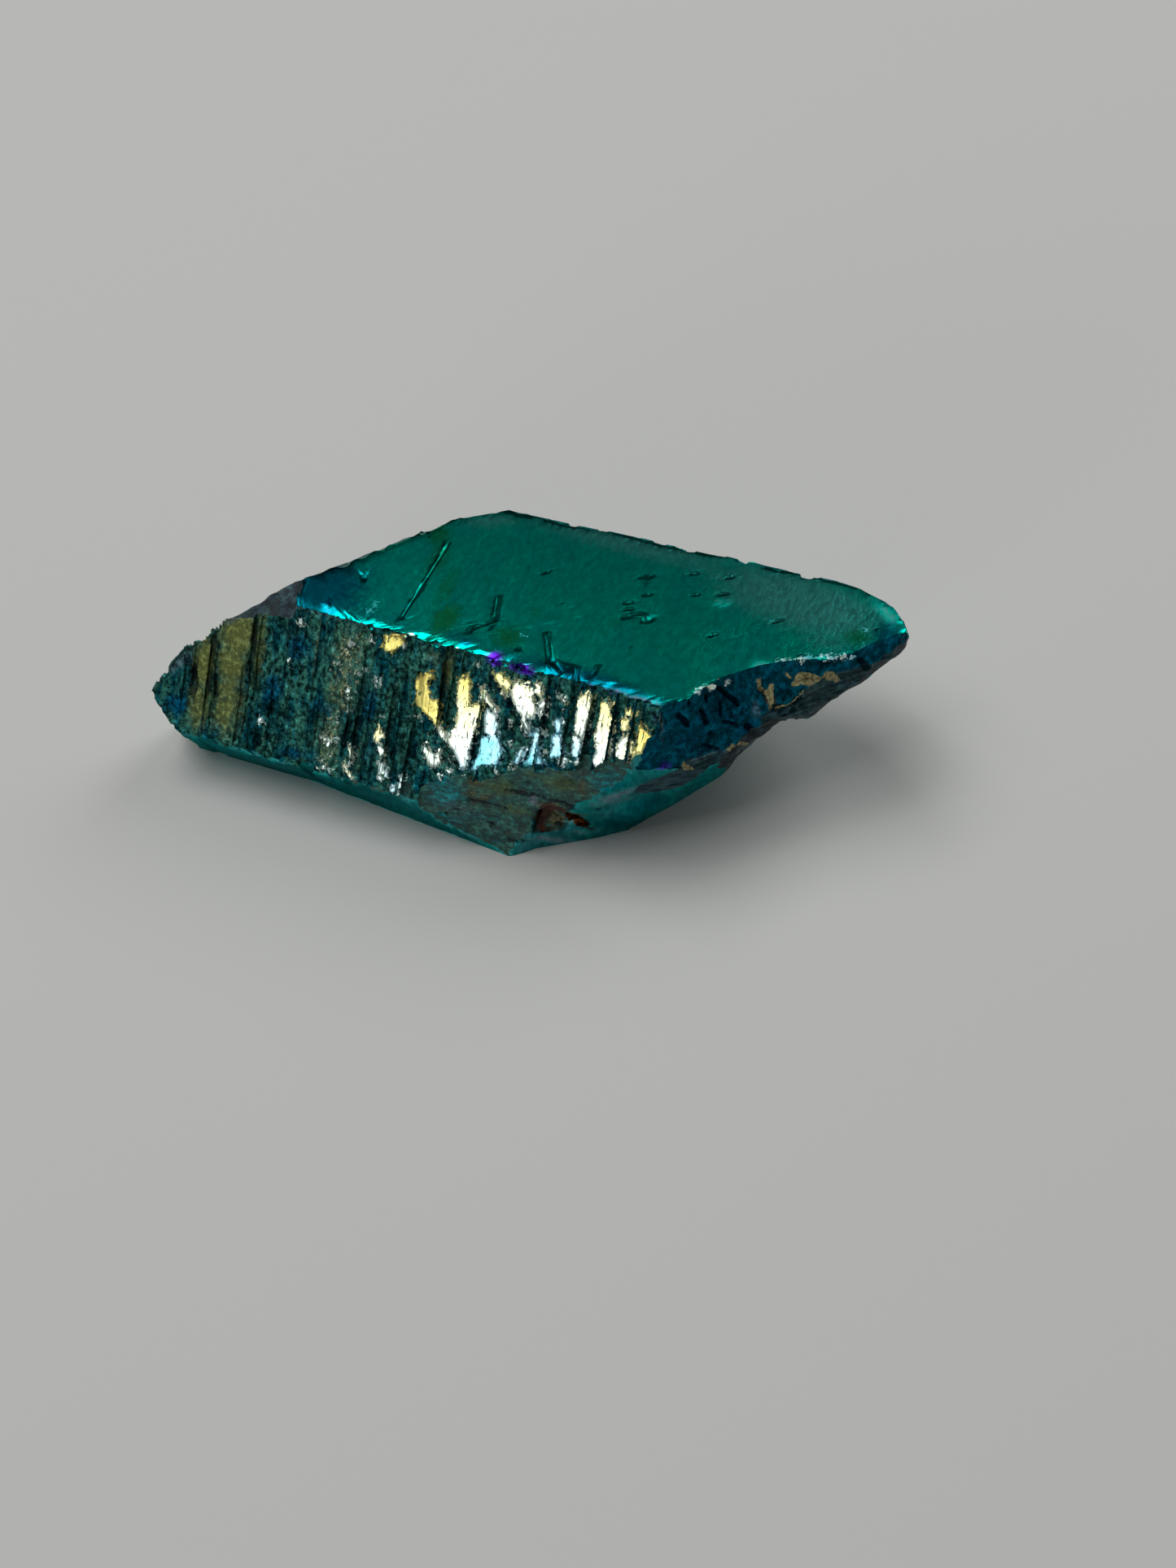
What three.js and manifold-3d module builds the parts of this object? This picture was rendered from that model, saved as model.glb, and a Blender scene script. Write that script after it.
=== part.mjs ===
// A single quartz crystal with a metal coating, broken off its base and lying on one side face.
//
// Crystal frame, used while the solid is built, in millimetres: +X runs along the long axis to the
// point, +Z is up, and the lower prism face lies in the plane Z = 0. A face's turn is its angle
// about the long axis, from straight up towards -Y, which is the striated side. The finished
// solid is moved so that the origin lies under the middle of its box.

import * as THREE from 'three';
import { mergeVertices } from 'three/addons/utils/BufferGeometryUtils.js';
import Module from 'manifold-3d';

const wasm = await Module();
wasm.setup();

// Driving dimensions.
const THICKNESS = 12; // between the upper and the lower prism face
const LENGTH = 43; // along the axis, from the broken end to the point
const WIDTH = 21; // across the axis
const TIP_X = 18.7; // the point, from the crystal frame's origin
const FRONT_EDGE_Y = 1.58; // where the upper face meets the striated face
const BACK_EDGE_Y = 13.8; // where it meets the back face, level with the origin
const MIDDLE_Y = 6.6; // halfway across the widest place
const RHOMB_LEAN = 0.618; // share of a rhombohedral face's normal that lies along the axis
const WORN_EDGE = 0.16; // how far wear has cut back a sharp edge

const BLOCK_REACH = LENGTH + WIDTH; // how far a cutting block stands out, past any corner
const SPARE = 8; // how much longer each way the uncut block is than the crystal
const FINEST = 0.015; // slivers thinner than this are closed up after the cuts
const STONE_COLOUR = 0x0d6d66;

// ---------------------------------------------------------------- chance and noise

/** A repeatable source of numbers from 0 to 1. */
function dice(seed) {
  let state = seed;
  return () => {
    state = (state * 1664525 + 1013904223) % 4294967296;
    return state / 4294967296;
  };
}

/** A number from -1 to 1 that belongs to one corner of a square lattice. */
function latticeValue(column, row, seed) {
  const wave = Math.sin(column * 127.1 + row * 311.7 + seed * 74.7) * 43758.5453;
  return 2 * (wave - Math.floor(wave)) - 1;
}

/** Smooth noise from -1 to 1, with lumps one unit wide. */
function smoothNoise(x, y, seed) {
  const column = Math.floor(x);
  const row = Math.floor(y);
  const along = THREE.MathUtils.smoothstep(x - column, 0, 1);
  const across = THREE.MathUtils.smoothstep(y - row, 0, 1);
  const near = THREE.MathUtils.lerp(
    latticeValue(column, row, seed), latticeValue(column + 1, row, seed), along);
  const far = THREE.MathUtils.lerp(
    latticeValue(column, row + 1, seed), latticeValue(column + 1, row + 1, seed), along);
  return THREE.MathUtils.lerp(near, far, across);
}

/** Broken-stone relief: broad lumps with finer ones on them. */
function brokenNoise(x, y, lump, seed) {
  return smoothNoise(x / lump, y / lump, seed)
    + 0.5 * smoothNoise((2.3 * x) / lump, (2.3 * y) / lump, seed + 5);
}

// ---------------------------------------------------------------- directions and planes

/** The outward normal of a crystal face, from its lean along the axis and its turn about it. */
function faceNormal(lean, turnDegrees) {
  const turn = THREE.MathUtils.degToRad(turnDegrees);
  const side = Math.sqrt(1 - lean * lean);
  return new THREE.Vector3(lean, -side * Math.sin(turn), side * Math.cos(turn));
}

/** A plane through a point, facing out of the crystal. */
function plane(normal, x, y, z) {
  return { normal: normal.clone().normalize(), point: new THREE.Vector3(x, y, z) };
}

/** Lays the local XY plane onto a face, with local +X along the crystal's axis and +Z outwards. */
function ontoPlane(geometry, { normal, point }) {
  const along = new THREE.Vector3(1, 0, 0).addScaledVector(normal, -normal.x).normalize();
  const across = new THREE.Vector3().crossVectors(normal, along);
  const place = new THREE.Matrix4().makeBasis(along, across, normal).setPosition(point);
  return geometry.applyMatrix4(place);
}

// The six prism faces. The striated one meets the upper one along the front edge.
const PRISM = {
  upper: plane(faceNormal(0, 0), 0, 0, THICKNESS),
  striated: plane(faceNormal(0, 60), 0, FRONT_EDGE_Y, THICKNESS),
  frontUnder: plane(faceNormal(0, 120), 0, -3.34, 3.5),
  lower: plane(faceNormal(0, 180), 0, 0, 0),
  backUnder: plane(new THREE.Vector3(-0.03, 0.866, -0.5), 0, 16.3, 7.2),
  backUpper: plane(new THREE.Vector3(-0.044, 0.865, 0.5), 0, BACK_EDGE_Y, THICKNESS),
};

// The faces of the pointed end.
const POINT = {
  frontDark: plane(new THREE.Vector3(0.575, -0.717, 0.393), 7.23, FRONT_EDGE_Y, THICKNESS),
  frontUnder: plane(new THREE.Vector3(0.69, -0.62, -0.36), 5.7, 1.85, 0),
  under: plane(faceNormal(RHOMB_LEAN, 180), TIP_X, 11, 10.4),
  back: plane(faceNormal(RHOMB_LEAN, -60), 17.46, 13.16, THICKNESS),
  backCorner: plane(new THREE.Vector3(0.25, 0.88, 0.4), 16.1, 13.88, THICKNESS),
  tipCorner: plane(new THREE.Vector3(0.8, 0.48, 0.35), 18.37, 12.1, THICKNESS),
  blunt: plane(new THREE.Vector3(1, -0.05, -0.1), TIP_X, 11.5, THICKNESS),
};

// Where the crystal was broken.
const BREAK = {
  base: plane(new THREE.Vector3(-0.732, 0.628, 0.262), -15.85, 4.15, THICKNESS),
  baseCorner: plane(new THREE.Vector3(-0.57, 0.78, 0.27), -8.9, 11.8, THICKNESS),
  baseUnder: plane(faceNormal(-RHOMB_LEAN, 120), -22.1, -3, 4),
  topCorner: plane(new THREE.Vector3(-0.2, -0.15, 0.966), -16.74, 2.69, 11.2),
  wall: plane(new THREE.Vector3(0.157, -0.979, 0.132), -0.7, -2.5, 0),
  wallMiddle: plane(new THREE.Vector3(0.3, -0.95, 0.081), 5.8, -0.32, 8.71),
  wallFoot: plane(new THREE.Vector3(0.55, -0.8, -0.25), 1.06, -1.35, 0),
  wallRight: plane(new THREE.Vector3(0.654, -0.72, -0.231), 8.04, 0.22, 8.38),
  flank: plane(new THREE.Vector3(-0.09, -0.935, -0.344), -5.8, -3.34, 3.48),
  pointRim: plane(new THREE.Vector3(0.769, -0.604, -0.212), 15.05, 7.38, 10.16),
  rimShelf: plane(new THREE.Vector3(0.685, -0.72, 0.06), 12.23, 5.37, 9.49),
};
const TOP_CORNER_STEP = plane(new THREE.Vector3(-0.93, -0.25, 0.27), -15.75, 4.06, THICKNESS);
const WALL_LEFT_END = plane(new THREE.Vector3(1, 0.12, 0), -5.8, -3, 3);

// ---------------------------------------------------------------- solids

/** The closed solid inside a geometry. */
function asSolid(geometry) {
  geometry.deleteAttribute('normal');
  geometry.deleteAttribute('uv');
  const merged = mergeVertices(geometry, 1e-5);
  return new wasm.Manifold(new wasm.Mesh({
    numProp: 3,
    vertProperties: new Float32Array(merged.attributes.position.array),
    triVerts: new Uint32Array(merged.index.array),
  }));
}

/** A geometry from a closed solid. */
function asGeometry(solid) {
  const mesh = solid.getMesh();
  const geometry = new THREE.BufferGeometry();
  geometry.setAttribute('position', new THREE.BufferAttribute(mesh.vertProperties, 3));
  geometry.setIndex(new THREE.BufferAttribute(mesh.triVerts, 1));
  return geometry;
}

/** Evenly spaced values from one end to the other, at most one step apart. */
function spaced(from, to, step) {
  const count = Math.ceil((to - from) / step);
  return Array.from({ length: count + 1 }, (_, i) => from + ((to - from) * i) / count);
}

/**
 * A block whose inner face stands at -depth(u, v, column, row) over a grid of u and v.
 * Taken away from the crystal, it leaves that relief.
 */
function reliefBlock(us, vs, depth) {
  const columns = us.length - 1;
  const rows = vs.length - 1;
  const block = new THREE.BoxGeometry(1, 1, 1, columns, rows, 1);
  const position = block.attributes.position;
  for (let i = 0; i < position.count; i += 1) {
    const column = Math.round((position.getX(i) + 0.5) * columns);
    const row = Math.round((position.getY(i) + 0.5) * rows);
    const inner = position.getZ(i) < 0;
    const height = inner ? -depth(us[column], vs[row], column, row) : BLOCK_REACH;
    position.setXYZ(i, us[column], vs[row], height);
  }
  return block;
}

/** Everything outside a plane, as a block with a flat inner face. */
function outside(face) {
  const ends = [-BLOCK_REACH, BLOCK_REACH];
  return asSolid(ontoPlane(reliefBlock(ends, ends, () => 0), face));
}

/** Everything outside a plane, as a block with a broken inner face. */
function outsideBroken(face, { relief, lump, cell, span, seed, hollow = () => 0 }) {
  const grid = [-BLOCK_REACH, ...spaced(-span, span, cell), BLOCK_REACH];
  const depth = (u, v) => relief * brokenNoise(u, v, lump, seed) + hollow(u, v);
  return asSolid(ontoPlane(reliefBlock(grid, grid, depth), face));
}

/** A dish of the given depth, as the extra depth at a place on a broken face. */
function dish(centreU, centreV, halfLength, halfWidth, depth) {
  return (u, v) => {
    const away = ((u - centreU) / halfLength) ** 2 + ((v - centreV) / halfWidth) ** 2;
    return depth * Math.max(0, 1 - away);
  };
}

// ---------------------------------------------------------------- growth ledges on prism faces

const LEDGE_WALL = 0.05; // width of the steep wall between a ledge and a groove
const GROOVE_FADE = 0.9; // length over which a groove's end rises to its ledge

/** A groove across a prism face: its place along the axis, its width and depth, and its ends. */
function groove(at, width, depth, low, high) {
  return { at, width, depth, low, high };
}

/** Grooves at uneven distances along a prism face. */
function scatterGrooves({ from, to, pitch, width, depth, reach, seed }) {
  const random = dice(seed);
  return spaced(from, to, pitch).map((place) => {
    const low = reach[0] + (reach[1] - reach[0]) * 0.7 * (random() - 0.3);
    const high = low + (reach[1] - reach[0]) * (0.3 + 0.7 * random());
    const at = place + 0.5 * pitch * (random() - 0.5);
    return groove(at, width * (0.5 + random()), depth * (0.4 + 0.8 * random()), low, high);
  });
}

/** The grid columns that grooves need: two on each side of a groove, a wall's width apart. */
function ledgeColumns(grooves, level, random) {
  const columns = [{ at: -BLOCK_REACH, height: 0 }];
  let height = level * random();
  for (const cut of [...grooves].sort((first, second) => first.at - second.at)) {
    const half = cut.width / 2;
    columns.push({ at: cut.at - half - LEDGE_WALL, height });
    columns.push({ at: cut.at - half, height, cut });
    columns.push({ at: cut.at + half, height, cut });
    height = level * random();
    columns.push({ at: cut.at + half + LEDGE_WALL, height });
  }
  columns.push({ at: BLOCK_REACH, height });
  return columns;
}

/** How deep a groove is at a place across the face. */
function grooveDepth(cut, v) {
  const risen = THREE.MathUtils.smoothstep(v, cut.low - GROOVE_FADE, cut.low);
  const fallen = THREE.MathUtils.smoothstep(v, cut.high, cut.high + GROOVE_FADE);
  return cut.depth * risen * (1 - fallen);
}

/** Everything outside a prism face, leaving ledges that run down the face across the axis. */
function outsideLedged(face, grooves, { level, rows, seed }) {
  const columns = ledgeColumns(grooves, level, dice(seed));
  const us = columns.map((column) => column.at);
  const vs = [-BLOCK_REACH, ...rows, BLOCK_REACH];
  const depth = (u, v, index, row) => {
    const { height, cut } = columns[index];
    const ledge = Math.floor((index + 1) / 4);
    const wander = 0.6 * level * smoothNoise(ledge * 0.7, row * 0.8, seed + 3);
    return Math.max(0, height + wander) + (cut ? grooveDepth(cut, v) : 0);
  };
  return asSolid(ontoPlane(reliefBlock(us, vs, depth), face));
}

/** The main grooves of the striated face. Their ends are heights above the front edge. */
const FRONT_GROOVES = [
  groove(-21.3, 0.2, 0.18, -7, -4.6),
  groove(-20.8, 0.14, 0.2, -6.8, -4.6),
  groove(-19.82, 0.2, 0.26, -8.5, -3.4),
  groove(-19.42, 0.16, 0.22, -7.4, -5.2),
  groove(-17.72, 0.18, 0.16, -9, -5),
  groove(-17.35, 0.2, 0.26, -5, -1.2),
  groove(-16.85, 0.2, 0.2, -9.5, -0.5),
  groove(-15.6, 0.3, 0.14, -10, -4.5),
  groove(-14.6, 0.26, 0.12, -5, -0.5),
  groove(-13.15, 0.2, 0.16, -4.5, 0),
  groove(-12.7, 0.16, 0.16, -8, -5),
  groove(-10.8, 0.16, 0.3, -7.6, -5.4),
  groove(-10.2, 0.28, 0.34, -8.2, -3),
  groove(-9.45, 0.3, 0.22, -9, -4.5),
  groove(-8.25, 0.2, 0.26, -7.2, -3.6),
  groove(-7.5, 0.5, 0.16, -9, -0.6),
  groove(-6.75, 0.4, 0.3, -10, -4.6),
  groove(-5.4, 0.22, 0.36, -4.6, -0.2),
  groove(-4.85, 0.2, 0.24, -4.4, -0.6),
  groove(-2.98, 0.16, 0.28, -7, -2.8),
  groove(0.92, 0.42, 0.34, -5.4, -0.6),
  groove(2.28, 0.3, 0.36, -5, -0.5),
  groove(3.54, 0.44, 0.44, -5.4, -0.4),
  groove(4.94, 0.36, 0.36, -4.8, -0.4),
  groove(6, 0.22, 0.24, -4, -1.2),
  groove(7.5, 0.16, 0.18, -3.4, -1),
];

/** A narrow V-shaped cut of the given length in a face, centred on u and v. */
function slit(face, u, v, length, side, turnDegrees) {
  const shape = new THREE.BoxGeometry(length, side, side);
  shape.rotateX(Math.PI / 4);
  shape.rotateZ(THREE.MathUtils.degToRad(turnDegrees));
  shape.translate(u, v, 0);
  return asSolid(ontoPlane(shape, face));
}

/** Cuts that run askew over the ledges. */
function frontSlits() {
  return [
    slit(PRISM.striated, -1.1, -2.7, 3.2, 0.34, -50),
    slit(PRISM.striated, -0.1, -5.1, 1.4, 0.16, -104),
    slit(PRISM.striated, -5.2, -5.6, 3.7, 0.3, -42),
    slit(PRISM.striated, 3.2, -3.2, 2, 0.1, -2),
  ];
}

/** One long growth line and short cracks in the upper face. */
function upperSlits() {
  return [
    slit(PRISM.upper, -8.8, 6, 6.8, 0.13, 88),
    slit(PRISM.upper, -4.1, 5.4, 2.1, 0.16, 105),
    slit(PRISM.upper, -4.3, 3.9, 1.4, 0.14, 46),
    slit(PRISM.upper, -0.2, 3.6, 2.4, 0.2, 116),
    slit(PRISM.upper, 0.9, 2.3, 1.1, 0.17, 140),
    slit(PRISM.upper, 2.1, 1.9, 1.7, 0.16, 108),
    slit(PRISM.upper, 2.9, 2.6, 1.3, 0.14, 84),
    slit(PRISM.upper, -4.87, 3.3, 0.8, 0.14, 82),
  ];
}

// ---------------------------------------------------------------- small damage

const PEBBLE_BULGE = 0.22; // how far a pebble's corners stand in or out, as a share of its radius
const PEBBLE_TURN = 2.4; // radians from one pebble to the next, so that no two lie alike

/** A rough pebble shape, for taking a pit or a chip out of the crystal. */
function pebble(x, y, z, [sizeX, sizeY, sizeZ], seed, detail = 1) {
  const shape = new THREE.IcosahedronGeometry(1, detail);
  const position = shape.attributes.position;
  const corner = new THREE.Vector3();
  for (let i = 0; i < position.count; i += 1) {
    corner.fromBufferAttribute(position, i);
    const bulge = 1 + PEBBLE_BULGE * latticeValue(
      Math.round(50 * corner.x), Math.round(50 * corner.y + 31 * corner.z), seed);
    position.setXYZ(i, corner.x * bulge, corner.y * bulge, corner.z * bulge);
  }
  shape.scale(sizeX, sizeY, sizeZ);
  shape.rotateZ(PEBBLE_TURN * seed);
  shape.translate(x, y, z);
  return asSolid(shape);
}

/** Pits in the upper face, where the coating settled darkest. */
function upperPits() {
  const places = [
    [2.84, 8.44, 0.22], [3.06, 7.95, 0.2], [3.15, 7.37, 0.26], [4.35, 7.55, 0.42],
    [3.7, 9.44, 0.19], [3.37, 10.94, 0.17], [2.88, 10.7, 0.15], [6.31, 10.44, 0.17],
    [8.25, 7.73, 0.25], [7.75, 11, 0.22], [7.75, 12.5, 0.2], [11.37, 10.06, 0.2],
    [5.65, 12, 0.17], [-1.78, 2.87, 0.18], [-2.44, 9.12, 0.22], [-12.25, 5, 0.26],
  ];
  return places.map(([x, y, size], i) => pebble(
    x, y, THICKNESS + 0.1 * size, [size, 0.8 * size, 0.7 * size], i + 1, 0));
}

/** Nicks along the edge between the upper and the striated face. */
function frontEdgeNicks() {
  const random = dice(71);
  return spaced(-12.6, 6.4, 1.1).map((x, i) => {
    const size = 0.14 + 0.2 * random();
    const shift = 0.8 * (random() - 0.5);
    return pebble(
      x + shift, FRONT_EDGE_Y - 0.05, THICKNESS, [size, 0.9 * size, 0.8 * size], i + 20, 0);
  });
}

/** Chips along the rim of the point, and notches in the back edge of the upper face. */
function rimChips() {
  return [
    pebble(4.4, 14.2, THICKNESS, [0.5, 0.85, 0.7], 41),
    pebble(8.0, 14.45, THICKNESS, [0.42, 0.7, 0.6], 42),
    pebble(11.9, 14.75, THICKNESS, [0.9, 0.6, 0.6], 43),
    pebble(16.9, 14.2, THICKNESS + 0.1, [0.7, 0.45, 0.5], 44),
    pebble(18.6, 12.8, THICKNESS + 0.2, [0.5, 0.55, 0.6], 45),
    pebble(19.0, 11.3, 11.6, [0.55, 0.8, 0.6], 46),
    pebble(18.6, 10.2, 10.4, [0.7, 0.8, 0.7], 47),
    pebble(13.7, 4.9, 9.4, [0.6, 0.7, 0.5], 49),
    pebble(12.6, 3.4, 8.1, [0.7, 0.5, 0.5], 50),
    pebble(9.2, 0.5, 8.3, [0.7, 0.5, 0.5], 51),
    pebble(13.5, 6.7, 5.7, [1.6, 1.3, 1.2], 52),
  ];
}

/** Chips along the rim of the broken base end. */
function baseChips() {
  return [
    pebble(-15.7, 3.1, THICKNESS + 0.1, [0.5, 0.5, 0.4], 61),
    pebble(-17.6, 2.1, 11.7, [0.8, 0.7, 0.55], 62),
    pebble(-19.9, 0.9, 10.4, [0.55, 0.7, 0.6], 63),
    pebble(-21.0, 0.0, 9.3, [0.5, 0.5, 0.6], 64),
    pebble(-23.2, -1.3, 6.7, [0.6, 0.6, 0.6], 65),
    pebble(-23.7, -2.5, 4.9, [0.5, 0.5, 0.5], 66),
    pebble(-22.3, -3.4, 3.7, [0.5, 0.5, 0.5], 67),
    pebble(-13.0, 7.7, THICKNESS + 0.1, [0.5, 0.45, 0.4], 68),
    pebble(-10.8, 10.2, THICKNESS + 0.1, [0.6, 0.4, 0.4], 69),
  ];
}

/** The dark pocket low in the broken wall, and smaller holes around it. */
function wallHoles() {
  return [
    pebble(1.7, -1.75, 2.9, [1.1, 1.1, 1.15], 81),
    pebble(2.9, -1.35, 2.2, [1.25, 1.0, 0.8], 82),
    pebble(4.0, -0.9, 1.7, [0.8, 0.8, 0.55], 83),
    pebble(-3.3, -2.55, 4.0, [0.5, 0.3, 0.35], 84),
    pebble(-1.7, -2.5, 2.0, [0.4, 0.3, 0.4], 85),
    pebble(0.2, -1.9, 5.2, [0.6, 0.35, 0.25], 86),
    pebble(-4.6, -2.7, 2.0, [0.35, 0.3, 0.5], 87),
    pebble(2.6, -1.0, 6.3, [0.7, 0.3, 0.25], 88),
  ];
}

// ---------------------------------------------------------------- the crystal

/** The six side faces: ledges on four of them, the upper and the lower one flat. */
function cutPrism(block) {
  const back = { pitch: 1.9, width: 0.5, depth: 0.24 };
  const upperBack = scatterGrooves({ ...back, from: -13, to: 14, reach: [0, 6], seed: 5 });
  const underBack = scatterGrooves({ ...back, from: -16, to: 13, reach: [0, 8], seed: 6 });
  const underFront = scatterGrooves({ ...back, from: -20, to: 2, reach: [0, 4], seed: 7 });
  const frontUnder = outsideLedged(
    PRISM.frontUnder, underFront, { level: 0.06, rows: [0, 2, 4], seed: 14 });
  return block
    .subtract(outside(PRISM.upper))
    .subtract(outside(PRISM.lower))
    .subtract(outsideLedged(
      PRISM.striated, FRONT_GROOVES, { level: 0.13, rows: spaced(-10.4, 0.4, 1.6), seed: 11 }))
    .subtract(outsideLedged(
      PRISM.backUpper, upperBack, { level: 0.16, rows: spaced(0, 6, 2), seed: 12 }))
    .subtract(outsideLedged(
      PRISM.backUnder, underBack, { level: 0.14, rows: spaced(0, 8, 2.6), seed: 13 }))
    .subtract(frontUnder.intersect(outside(BREAK.flank)));
}

/** The pointed end: a dished dark face, smooth faces beneath it and a blunted point. */
function cutPoint(block) {
  const smooth = { relief: 0.05, lump: 3.5, cell: 1.6, span: 22 };
  const dark = {
    relief: 0.1, lump: 1.9, cell: 0.75, span: 15, seed: 21, hollow: dish(6.3, 1.4, 4.8, 3.4, 1.1),
  };
  return block
    .subtract(outsideBroken(POINT.frontDark, dark))
    .subtract(outsideBroken(POINT.frontUnder, { ...smooth, cell: 1.1, seed: 22 }))
    .subtract(outsideBroken(POINT.under, { ...smooth, seed: 23 }))
    .subtract(outsideBroken(POINT.back, { ...smooth, cell: 0.9, relief: 0.09, seed: 24 }))
    .subtract(outsideBroken(POINT.backCorner, { ...smooth, cell: 0.9, relief: 0.06, seed: 26 }))
    .subtract(outsideBroken(POINT.tipCorner, { ...smooth, cell: 0.6, relief: 0.1, seed: 27 }))
    .subtract(outsideBroken(POINT.blunt, { ...smooth, cell: 0.6, relief: 0.12, seed: 25 }));
}

/** The broken base end, with a lump standing out of its rim, and the chipped corner above it. */
function cutBase(block) {
  const rough = { relief: 0.24, lump: 2.6, cell: 1.35, span: 24 };
  const lump = dish(-8.5, 1.8, 1.6, 1.8, -0.5);
  const corner = outsideBroken(
    BREAK.topCorner, { ...rough, relief: 0.14, lump: 1.6, cell: 0.8, span: 8, seed: 37 });
  return block
    .subtract(outsideBroken(BREAK.base, { ...rough, seed: 31, hollow: lump }))
    .subtract(outsideBroken(BREAK.baseCorner, { ...rough, relief: 0.12, seed: 32 }))
    .subtract(outsideBroken(BREAK.baseUnder, { ...rough, relief: 0.14, seed: 36 }))
    .subtract(corner.intersect(outside(TOP_CORNER_STEP)));
}

/** The rough wall low at the front, the smoother breaks beside it and the rim under the point. */
function cutFront(block) {
  const rough = { relief: 0.22, lump: 1.5, cell: 0.66, span: 10 };
  const smooth = { relief: 0.08, lump: 2.2, cell: 0.9, span: 10 };
  const wall = outsideBroken(BREAK.wall, { ...rough, seed: 33 });
  const rim = { ...rough, lump: 0.9, cell: 0.6 };
  const scoop = dish(-4.1, -3.6, 3.3, 3.0, 1.6);
  return block
    .subtract(wall.intersect(outside(WALL_LEFT_END)))
    .subtract(outsideBroken(BREAK.wallMiddle, { ...smooth, seed: 38 }))
    .subtract(outsideBroken(BREAK.wallFoot, { ...rough, relief: 0.16, seed: 39 }))
    .subtract(outsideBroken(BREAK.wallRight, { ...smooth, seed: 34 }))
    .subtract(outsideBroken(BREAK.pointRim, { ...rim, seed: 35, hollow: scoop }))
    .subtract(outsideBroken(BREAK.rimShelf, { ...rim, relief: 0.16, seed: 40 }));
}

/** A narrow uneven bevel where two faces meet. */
function wornEdge(first, second, x, y, z, seed) {
  const normal = first.normal.clone().add(second.normal).normalize();
  const worn = plane(normal, x, y, z);
  worn.point.addScaledVector(normal, -WORN_EDGE);
  return outsideBroken(worn, { relief: 0.09, lump: 1.4, cell: 0.9, span: 22, seed });
}

/** Wear along the long edges and the rim of the upper face. */
function wearEdges(block) {
  return block
    .subtract(wornEdge(PRISM.upper, PRISM.backUpper, 0, BACK_EDGE_Y, THICKNESS, 51))
    .subtract(wornEdge(PRISM.upper, BREAK.base, -15.75, 4.06, THICKNESS, 52))
    .subtract(wornEdge(PRISM.striated, PRISM.frontUnder, 0, -3.34, 3.5, 53));
}

/** The whole crystal as one closed solid, in the crystal frame. */
function buildCrystal() {
  const start = new THREE.BoxGeometry(LENGTH + SPARE, WIDTH + SPARE, THICKNESS + SPARE);
  start.translate(TIP_X - LENGTH / 2, MIDDLE_Y, THICKNESS / 2);
  const faced = cutPoint(cutPrism(asSolid(start)));
  const broken = wearEdges(cutFront(cutBase(faced)));
  const damage = [
    ...frontSlits(), ...upperSlits(), ...upperPits(), ...frontEdgeNicks(),
    ...rimChips(), ...baseChips(), ...wallHoles(),
  ];
  const whole = damage.reduce((solid, piece) => solid.subtract(piece), broken);
  return whole.asOriginal().simplify(FINEST);
}

/** Moves the geometry so that the origin lies under the middle of its box. */
function standOnOrigin(geometry) {
  geometry.computeBoundingBox();
  const { min, max } = geometry.boundingBox;
  return geometry.translate(-(min.x + max.x) / 2, -(min.y + max.y) / 2, -min.z);
}

const group = new THREE.Group();
const coated = new THREE.MeshStandardMaterial({
  color: STONE_COLOUR, roughness: 0.3, metalness: 0.9, flatShading: true,
});
const crystal = new THREE.Mesh(standOnOrigin(asGeometry(buildCrystal())), coated);
crystal.name = 'quartz_point';
group.add(crystal);

export default group;
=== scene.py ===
import math
from collections import namedtuple

import bmesh
import bpy
import numpy as np
from bpy.props import FloatProperty, FloatVectorProperty, PointerProperty
from mathutils import Matrix, Vector
from mathutils.kdtree import KDTree


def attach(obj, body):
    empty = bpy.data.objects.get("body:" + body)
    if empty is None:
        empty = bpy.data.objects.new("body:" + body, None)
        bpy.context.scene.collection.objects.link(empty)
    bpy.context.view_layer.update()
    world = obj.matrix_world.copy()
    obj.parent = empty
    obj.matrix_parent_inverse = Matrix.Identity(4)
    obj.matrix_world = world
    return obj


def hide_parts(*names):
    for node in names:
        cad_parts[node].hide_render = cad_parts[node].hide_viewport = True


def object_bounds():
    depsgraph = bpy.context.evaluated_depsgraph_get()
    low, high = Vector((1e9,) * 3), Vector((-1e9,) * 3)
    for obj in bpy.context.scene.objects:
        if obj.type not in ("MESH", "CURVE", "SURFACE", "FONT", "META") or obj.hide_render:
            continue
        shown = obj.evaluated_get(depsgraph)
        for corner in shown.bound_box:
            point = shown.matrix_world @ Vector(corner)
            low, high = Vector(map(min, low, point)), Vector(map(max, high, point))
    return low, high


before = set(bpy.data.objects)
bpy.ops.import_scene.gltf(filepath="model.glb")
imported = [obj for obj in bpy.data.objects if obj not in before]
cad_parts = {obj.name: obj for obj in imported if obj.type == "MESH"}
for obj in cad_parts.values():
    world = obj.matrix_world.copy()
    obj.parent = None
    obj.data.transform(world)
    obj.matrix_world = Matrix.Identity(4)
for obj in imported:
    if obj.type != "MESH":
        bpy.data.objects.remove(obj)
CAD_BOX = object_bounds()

bl_info = {
    "name": "Coated quartz point",
    "version": (1, 0, 0),
    "blender": (4, 5, 0),
    "location": "View3D > Sidebar > Quartz",
    "description": "Gives a coated quartz crystal its surface, its iridescent film and its stage",
    "category": "Object",
}

# Crystal frame, in millimetres: +X runs along the long axis to the point and +Z is up.
MM = 0.001
MIDDLE = np.array([-2.4670, 6.8148, 0.0])  # the middle of the object's box in the crystal frame
TOP = 12.0  # height of the upper face
FRONT_EDGE_Y = 1.58  # where the upper face meets the striated face
NODE = "quartz_point"


# ---------------------------------------------------------------- faces

Face = namedtuple("Face", "name normal point reach finish")
FINISHES = ("upper", "ledges", "side", "dark", "stone", "rim")


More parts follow.
